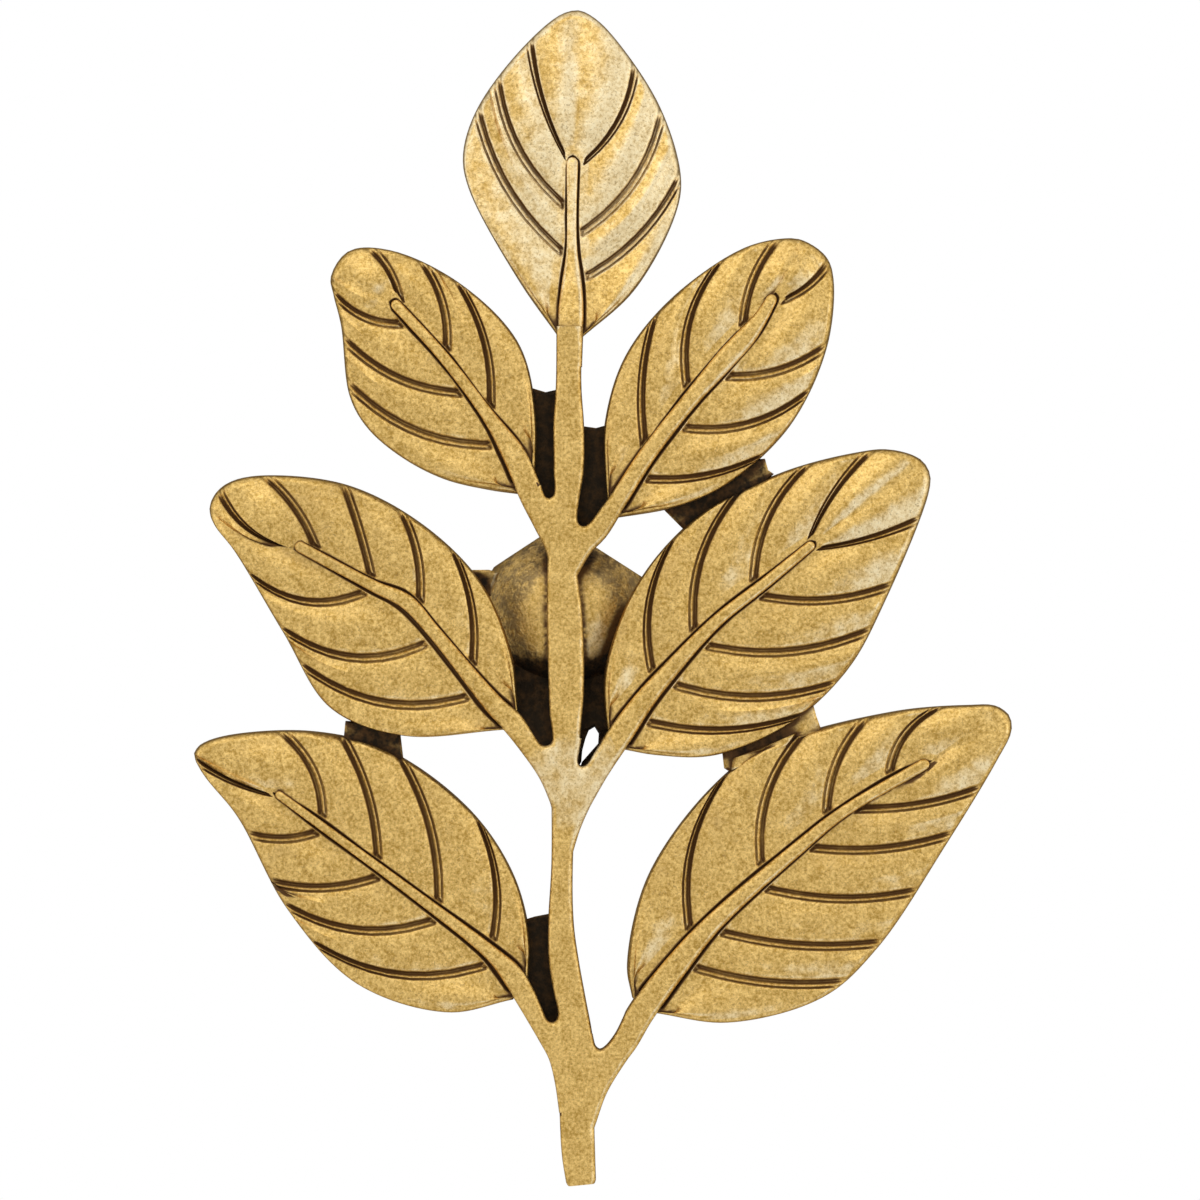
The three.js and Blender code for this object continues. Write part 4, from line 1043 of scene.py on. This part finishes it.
def measure_bulge(mesh):
    """How sharply the surface turns away round each vertex: above 0 on ridges and edges."""
    count = len(mesh.vertices)
    places = np.array([vertex.co for vertex in mesh.vertices])
    normals = broad_normals(mesh)
    edges = np.array([edge.vertices for edge in mesh.edges])
    way = places[edges[:, 1]] - places[edges[:, 0]]
    way /= np.maximum(np.linalg.norm(way, axis=1, keepdims=True), 1e-9)
    total = np.zeros(count)
    number = np.zeros(count)
    for end, sign in ((0, 1), (1, -1)):
        np.add.at(total, edges[:, end], -sign * np.sum(way * normals[edges[:, end]], axis=1))
        np.add.at(number, edges[:, end], 1)
    return np.clip(total / np.maximum(number, 1), 0, 1)


def inside(outline, spots):
    """True for the spots within a closed outline: a ray to the right crosses it an odd number of times."""
    crossings = np.zeros(len(spots), int)
    for (x0, z0), (x1, z1) in zip(outline, outline[1:] + outline[:1]):
        level = (z0 > spots[:, 1]) != (z1 > spots[:, 1])
        height = z1 - z0 if z1 != z0 else 1
        crossings += level & (spots[:, 0] < x0 + (x1 - x0) * (spots[:, 1] - z0) / height)
    return crossings % 2 == 1


def measure_patina_and_painted_shade(mesh):
    """Up to 1 on the webs, patina with painted shade, and on the post's head a painted shade that rises
    downward and, by less, upward.
    """
    places = np.array([vertex.co for vertex in mesh.vertices]) / MM
    spots = places[:, [0, 2]]
    low = np.zeros(len(places))
    for setback, slope, dark, outline in WEBS:
        level = np.abs(-places[:, 1] - web_face(setback, slope, outline, spots)) < WEB_EDGE + 0.1
        low[level & inside(outline, spots)] = dark
    on_head = (-places[:, 1] < BLADE_BACK + 0.05) & (np.linalg.norm(spots, axis=1) < POST_HEAD_RADIUS + 0.1)
    shade = 1 - smooth_step(*LOWER_SHADE, spots[:, 1]) + UPPER_SHADE_AMOUNT * smooth_step(*UPPER_SHADE, spots[:, 1])
    return np.where(on_head, shade, low)


def measure_cast(mesh):
    """1 on the post, whose surface is as the mould left it, and 0 where the casting was polished."""
    places = np.array([vertex.co for vertex in mesh.vertices]) / MM
    behind = 1 - smooth_step(BLADE_BACK - 0.3, BLADE_BACK + 0.3, -places[:, 1])
    away = np.hypot(places[:, 0], places[:, 2])
    return behind * (1 - smooth_step(POST_HEAD_RADIUS, POST_HEAD_RADIUS + 1.5, away))


def measure_painted_sheen(mesh):
    """A painted highlight above 0 and a painted shade below 0, by how a flat face leans and in patches."""
    places = np.array([vertex.co for vertex in mesh.vertices]) / MM
    normals = broad_normals(mesh)
    flat = smooth_step(FLAT_ENOUGH, 1, -normals[:, 1])
    painted_sheen_and_shade = np.clip(normals @ PAINTED_SHEEN_SIDE * PAINTED_SHEEN_GAIN, -0.7, 0.8) * flat
    for x, z, radius, amount in PAINTED_LIGHT_PATCHES:
        away = np.hypot(places[:, 0] - x, places[:, 2] - z)
        painted_sheen_and_shade = painted_sheen_and_shade + amount * (1 - smooth_step(0.5 * radius, 1.1 * radius, away))
    return np.clip(painted_sheen_and_shade, -1, 1)


def evened(mesh, values, rounds):
    """Values averaged with those of the neighbours along edges, a few times over."""
    edges = np.array([edge.vertices for edge in mesh.edges])
    number = np.ones(len(values))
    np.add.at(number, edges.ravel(), 1)
    for _ in range(rounds):
        total = values.copy()
        np.add.at(total, edges[:, 0], values[edges[:, 1]])
        np.add.at(total, edges[:, 1], values[edges[:, 0]])
        values = total / number
    return values


def keep_attribute(mesh, name, values):
    mesh.attributes.new(name, "FLOAT", "POINT").data.foreach_set("value", values.astype(np.float32))


groove, recess = measure_recesses(casting.data)
keep_attribute(casting.data, "groove", groove)
keep_attribute(casting.data, "recess", evened(casting.data, recess, RECESS_ROUNDS))
keep_attribute(casting.data, "bulge", measure_bulge(casting.data))
# Patina with painted shade: the webs' listed darkness, and a painted shade on the post's head.
keep_attribute(casting.data, "low", evened(casting.data, measure_patina_and_painted_shade(casting.data), LOW_ROUNDS))
# Painted highlight and painted shade, by how flat faces lean and in listed patches.
keep_attribute(casting.data, "painted_sheen_and_shade", measure_painted_sheen(casting.data))
keep_attribute(casting.data, "cast", measure_cast(casting.data))
print("groove up to", round(float(groove.max()), 2), "and recess up to", round(float(recess.max()), 2))

# %% [markdown]
# ## Writing a finish as arithmetic
# A material is a formula over the surface. Two small classes let it be written as one: `Wire`
# wraps a socket and turns +, - and * into Math nodes, and `Finish` adds any other node.

# %% Wire and Finish
# Places of a Mix node's colour sockets, whose names are the same as those of its other sockets.
MIX_SHARE = 0
MIX_FIRST = 6
MIX_SECOND = 7
MIX_COLOUR = 2


class Wire:
    """An output socket that takes part in sums."""

    def __init__(self, finish, socket):
        self.finish = finish
        self.socket = socket

    def __add__(self, other):
        return self.finish.math("ADD", self, other)

    def __sub__(self, other):
        return self.finish.math("SUBTRACT", self, other)

    def __rsub__(self, other):
        return self.finish.math("SUBTRACT", other, self)

    def __mul__(self, other):
        return self.finish.math("MULTIPLY", self, other)

    def __neg__(self):
        return self.finish.math("MULTIPLY", self, -1.0)

    __radd__ = __add__
    __rmul__ = __mul__

    def clamp(self):
        return self.finish.math("ADD", self, 0.0, use_clamp=True)

    def step(self, low, high):
        """0 below low, 1 above high, with an S curve between."""
        return self.finish.node(
            "ShaderNodeMapRange", {"interpolation_type": "SMOOTHSTEP"},
            {"Value": self, "From Min": low, "From Max": high},
        )


class Finish:
    """A material, or another node tree, whose nodes are added by calls."""

    def __init__(self, tree):
        self.tree = tree

    def node(self, kind, settings, inputs, output=0):
        """Adds a node, its settings first, and returns one of its outputs if it has any."""
        made = self.tree.nodes.new(kind)
        for name, value in settings.items():
            setattr(made, name, value)
        for name, value in inputs.items():
            if isinstance(value, Wire):
                self.tree.links.new(value.socket, made.inputs[name])
            else:
                made.inputs[name].default_value = value
        return Wire(self, made.outputs[output]) if made.outputs else None

    def math(self, operation, a, b, use_clamp=False):
        return self.node("ShaderNodeMath", {"operation": operation, "use_clamp": use_clamp}, {0: a, 1: b})

    def attribute(self, name):
        return self.node("ShaderNodeAttribute", {"attribute_name": name}, {}, "Fac")

    def noise(self, place, per_metre, detail=2.0, roughness=0.5):
        return self.node(
            "ShaderNodeTexNoise", {},
            {"Vector": place, "Scale": per_metre, "Detail": detail, "Roughness": roughness},
        )

    def blend(self, share, first, second):
        """A colour between two, by a share from 0 to 1."""
        return self.node(
            "ShaderNodeMix", {"data_type": "RGBA"},
            {MIX_SHARE: share, MIX_FIRST: first, MIX_SECOND: second}, MIX_COLOUR,
        )


# %% [markdown]
# ## Antique brass
# Four layers make this finish. Rubbed brass, a clear yellow gold, is the ground. A thin brown
# film dulls it in soft clouds and gathers in the pores of the casting as specks, and it is laid
# thicker as a painted shade on faces turned to the upper left and in dark patches. Grooves hold
# a thick red-brown, and closed corners a near black; in deep corners, on the webs and on the
# post's head this dark is patina together with painted shade. Along ridges and edges the rubbing
# has gone furthest, and the metal is palest there; the same pale gold is a painted highlight on
# faces turned to the lower right and in pale patches. The film is a coating, so it is also
# rougher and less metallic than the bare brass.

# %% Antique brass material
DARK_GOLD = (0.50, 0.30, 0.062, 1)
LIGHT_GOLD = (1.0, 0.70, 0.25, 1)
# Pale gold for rubbed edges, and also used as a painted highlight.
PALE_GOLD = (1.0, 0.86, 0.56, 1)
# Olive for the film and specks, and as painted shade where the film is laid thicker.
OLIVE = (0.31, 0.19, 0.06, 1)
DULL = (0.27, 0.21, 0.12, 1)
# Brown for patina in grooves, and as painted shade in deep corners, on the webs and on the post's head.
BROWN = (0.12, 0.055, 0.017, 1)
# Near black for patina in closed corners, and as painted shade there and low on the post's head.
BLACK = (0.011, 0.008, 0.0065, 1)
FRONT = (0, -1, 0)
SPECULAR_EDGE = (0.85, 0.62, 0.33, 1)


def antique_brass():
    material = bpy.data.materials.new("antique_brass_finish")
    material.use_nodes = True
    material.node_tree.nodes.clear()
    finish = Finish(material.node_tree)
    place = finish.node("ShaderNodeTexCoord", {}, {}, "Object")
    normal = finish.node("ShaderNodeTexCoord", {}, {}, "Normal")
    facing = finish.node("ShaderNodeVectorMath", {"operation": "DOT_PRODUCT"}, {0: normal, 1: FRONT}, "Value")
    groove_depth = finish.attribute("groove")
    recess_depth = finish.attribute("recess")
    bulge_size = finish.attribute("bulge")
    low = finish.attribute("low")
    painted_sheen_and_shade = finish.attribute("painted_sheen_and_shade")
    cast = finish.attribute("cast")

    clouds = finish.noise(place, 160.0, 3.0)
    mottle = finish.noise(place, 900.0, 3.0, 0.6)
    grain = finish.noise(place, 3800.0, 2.0, 0.7)
    pores = finish.noise(place, 6000.0, 1.0)
    sand = finish.noise(place, 1500.0, 2.0, 0.7)

    walls = facing.step(-0.6, -0.1) * (1 - facing.step(0.15, 0.6))
    behind = 1 - facing.step(-0.2, 0.5)
    uneven = (mottle - 0.5) * 0.7 + (clouds - 0.5) * 0.5 + cast * (0.3 + (sand - 0.5) * 3.0)
    # The film, laid thicker as painted shade where the painted light measure is below 0.
    film_and_shade = (groove_depth * 2.6 - painted_sheen_and_shade * 0.3 + uneven).step(0.03, 0.7)
    # Thick red-brown: patina in grooves, with painted shade in deep corners, on the webs and on the post's
    # head.
    thick_patina_and_shade = (groove_depth * 2.2 + recess_depth * 0.6 + low * 0.8 + (mottle - 0.5) * 0.3).step(0.3, 0.85)
    # Near black: patina with painted shade in deep corners, on the webs and low on the post's head.
    closed = (recess_depth * 0.8 + low * 1.0 + (sand - 0.5) * 0.8).step(0.45, 1.05)
    # Palest gold: rubbed edges and ridges, plus a painted highlight on faces turned to the lower right and in
    # pale patches.
    edge_wear_and_sheen = (bulge_size * 1.5 + painted_sheen_and_shade * 0.95 + (mottle - 0.5) * 0.9).step(0.25, 0.95)
    sparkle = ((grain - 0.5) * 2.6 + (mottle - 0.5) * 1.2 + 0.5).clamp()
    specks = pores.step(0.56, 0.74) * 0.5

    colour = finish.blend(sparkle, DARK_GOLD, LIGHT_GOLD)
    colour = finish.blend(edge_wear_and_sheen * (0.4 + sparkle * 0.6), colour, PALE_GOLD)
    colour = finish.blend(specks, colour, OLIVE)
    colour = finish.blend(film_and_shade * 0.65, colour, OLIVE)
    colour = finish.blend(behind * 0.5, colour, OLIVE)
    colour = finish.blend((cast * (sand - 0.15) * 1.1).clamp(), colour, DULL)
    colour = finish.blend((thick_patina_and_shade + walls * 0.6).clamp(), colour, BROWN)
    colour = finish.blend((closed * (0.9 + (sand - 0.5) * 1.1)).clamp(), colour, BLACK)

    roughness = 0.38 + grain * 0.16 + film_and_shade * 0.1 + thick_patina_and_shade * 0.12
    metallic = 1 - thick_patina_and_shade * 0.4 - closed * 0.4
    bumps = grain * 0.6 + mottle * 0.5 + sand * cast * 4.0
    bumped = finish.node("ShaderNodeBump", {}, {"Strength": 0.7, "Distance": 0.00008, "Height": bumps})
    shader = finish.node(
        "ShaderNodeBsdfPrincipled", {},
        {
            "Base Color": colour, "Roughness": roughness, "Metallic": metallic, "Normal": bumped,
            "Specular Tint": SPECULAR_EDGE, "Specular IOR Level": 0.3,
            "Coat Weight": (1 - closed) * 0.15, "Coat Roughness": 0.3,
        },
    )
    finish.node("ShaderNodeOutputMaterial", {}, {"Surface": shader})
    return material


casting.data.materials.clear()
casting.data.materials.append(antique_brass())
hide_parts(NODE)
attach(casting, "root")
print("finish nodes:", len(casting.data.materials[0].node_tree.nodes))

# %% [markdown]
# ## Floor
# A pale disc lies below the knob and takes its soft shadow. Its rim fades out into the white
# background, so no edge of it shows from any side.

# %% Floor
FLOOR_DROP = 24 * MM
FLOOR_RADIUS = 0.30
FLOOR_FADE = 0.16
FLOOR_PAINT = (0.86, 0.86, 0.85, 1)


def floor_material():
    material = bpy.data.materials.new("pale_floor")
    material.use_nodes = True
    material.node_tree.nodes.clear()
    finish = Finish(material.node_tree)
    place = finish.node("ShaderNodeTexCoord", {}, {}, "Object")
    away = finish.node("ShaderNodeVectorMath", {"operation": "LENGTH"}, {0: place}, "Value")
    fade = away.step(FLOOR_FADE, FLOOR_RADIUS)
    paint = finish.node("ShaderNodeBsdfPrincipled", {}, {"Base Color": FLOOR_PAINT, "Roughness": 0.7})
    clear = finish.node("ShaderNodeBsdfTransparent", {}, {})
    mixed = finish.node("ShaderNodeMixShader", {}, {0: fade, 1: paint, 2: clear})
    finish.node("ShaderNodeOutputMaterial", {}, {"Surface": mixed})
    return material


floor_mesh = bpy.data.meshes.new("floor")
disc = bmesh.new()
bmesh.ops.create_circle(disc, cap_ends=True, radius=FLOOR_RADIUS, segments=96)
disc.to_mesh(floor_mesh)
disc.free()
floor = bpy.data.objects.new("floor", floor_mesh)
floor.location = (0, 0, cad_box[0][2] - FLOOR_DROP)
floor.data.materials.append(floor_material())
bpy.context.scene.collection.objects.link(floor)
print("floor", round(-floor.location.z * 1000), "mm below the screw")

# %% [markdown]
# ## Light
# Polished metal shows what stands round it. In the photograph the flat faces look back at the
# camera's dim side and stay deep gold, while whatever leans towards the ceiling, the floor or
# the sides catches white panels and turns pale. So the world is white at the sides, dimmer
# behind the camera and dimmest behind the knob, whose edges would shine white otherwise, and
# four soft panels stand above, below and at the sides.

# %% World and lamps
AROUND = 0.95
CAMERA_SIDE = 0.70
FAR_SIDE = 0.25


def light_world():
    world = bpy.data.worlds.new("white_room")
    bpy.context.scene.world = world
    world.use_nodes = True
    world.node_tree.nodes.clear()
    finish = Finish(world.node_tree)
    way = finish.node("ShaderNodeTexCoord", {}, {}, "Generated")
    forward = finish.node("ShaderNodeSeparateXYZ", {}, {"Vector": way}, "Y")
    to_camera = (-forward).step(0.25, 0.95)
    to_back = forward.step(0.1, 0.8)
    level = AROUND - to_camera * (AROUND - CAMERA_SIDE) - to_back * (AROUND - FAR_SIDE)
    seen = finish.node("ShaderNodeLightPath", {}, {}, "Is Camera Ray")
    strength = level * (1 - seen) + seen
    background = finish.node("ShaderNodeBackground", {}, {"Color": (1, 1, 1, 1), "Strength": strength})
    finish.node("ShaderNodeOutputWorld", {}, {"Surface": background})


def panel(name, place, size, radiance):
    """A square soft light aimed at the knob, as bright to look at as a wall of that radiance."""
    lamp = bpy.data.lights.new(name, "AREA")
    lamp.shape = "SQUARE"
    lamp.size = size
    lamp.energy = radiance * math.pi * size * size
    made = bpy.data.objects.new(name, lamp)
    made.location = place
    made.rotation_euler = (-Vector(place)).to_track_quat("-Z", "Y").to_euler()
    bpy.context.scene.collection.objects.link(made)


light_world()
panel("panel_above", (-0.10, -0.48, 0.42), 0.34, 1.6)
panel("panel_below", (0.05, -0.34, -0.42), 0.26, 0.8)
panel("panel_right", (0.52, -0.30, 0.10), 0.30, 1.1)
panel("panel_left", (-0.52, -0.26, 0.12), 0.26, 0.7)
print("lamps:", len(bpy.data.lights))
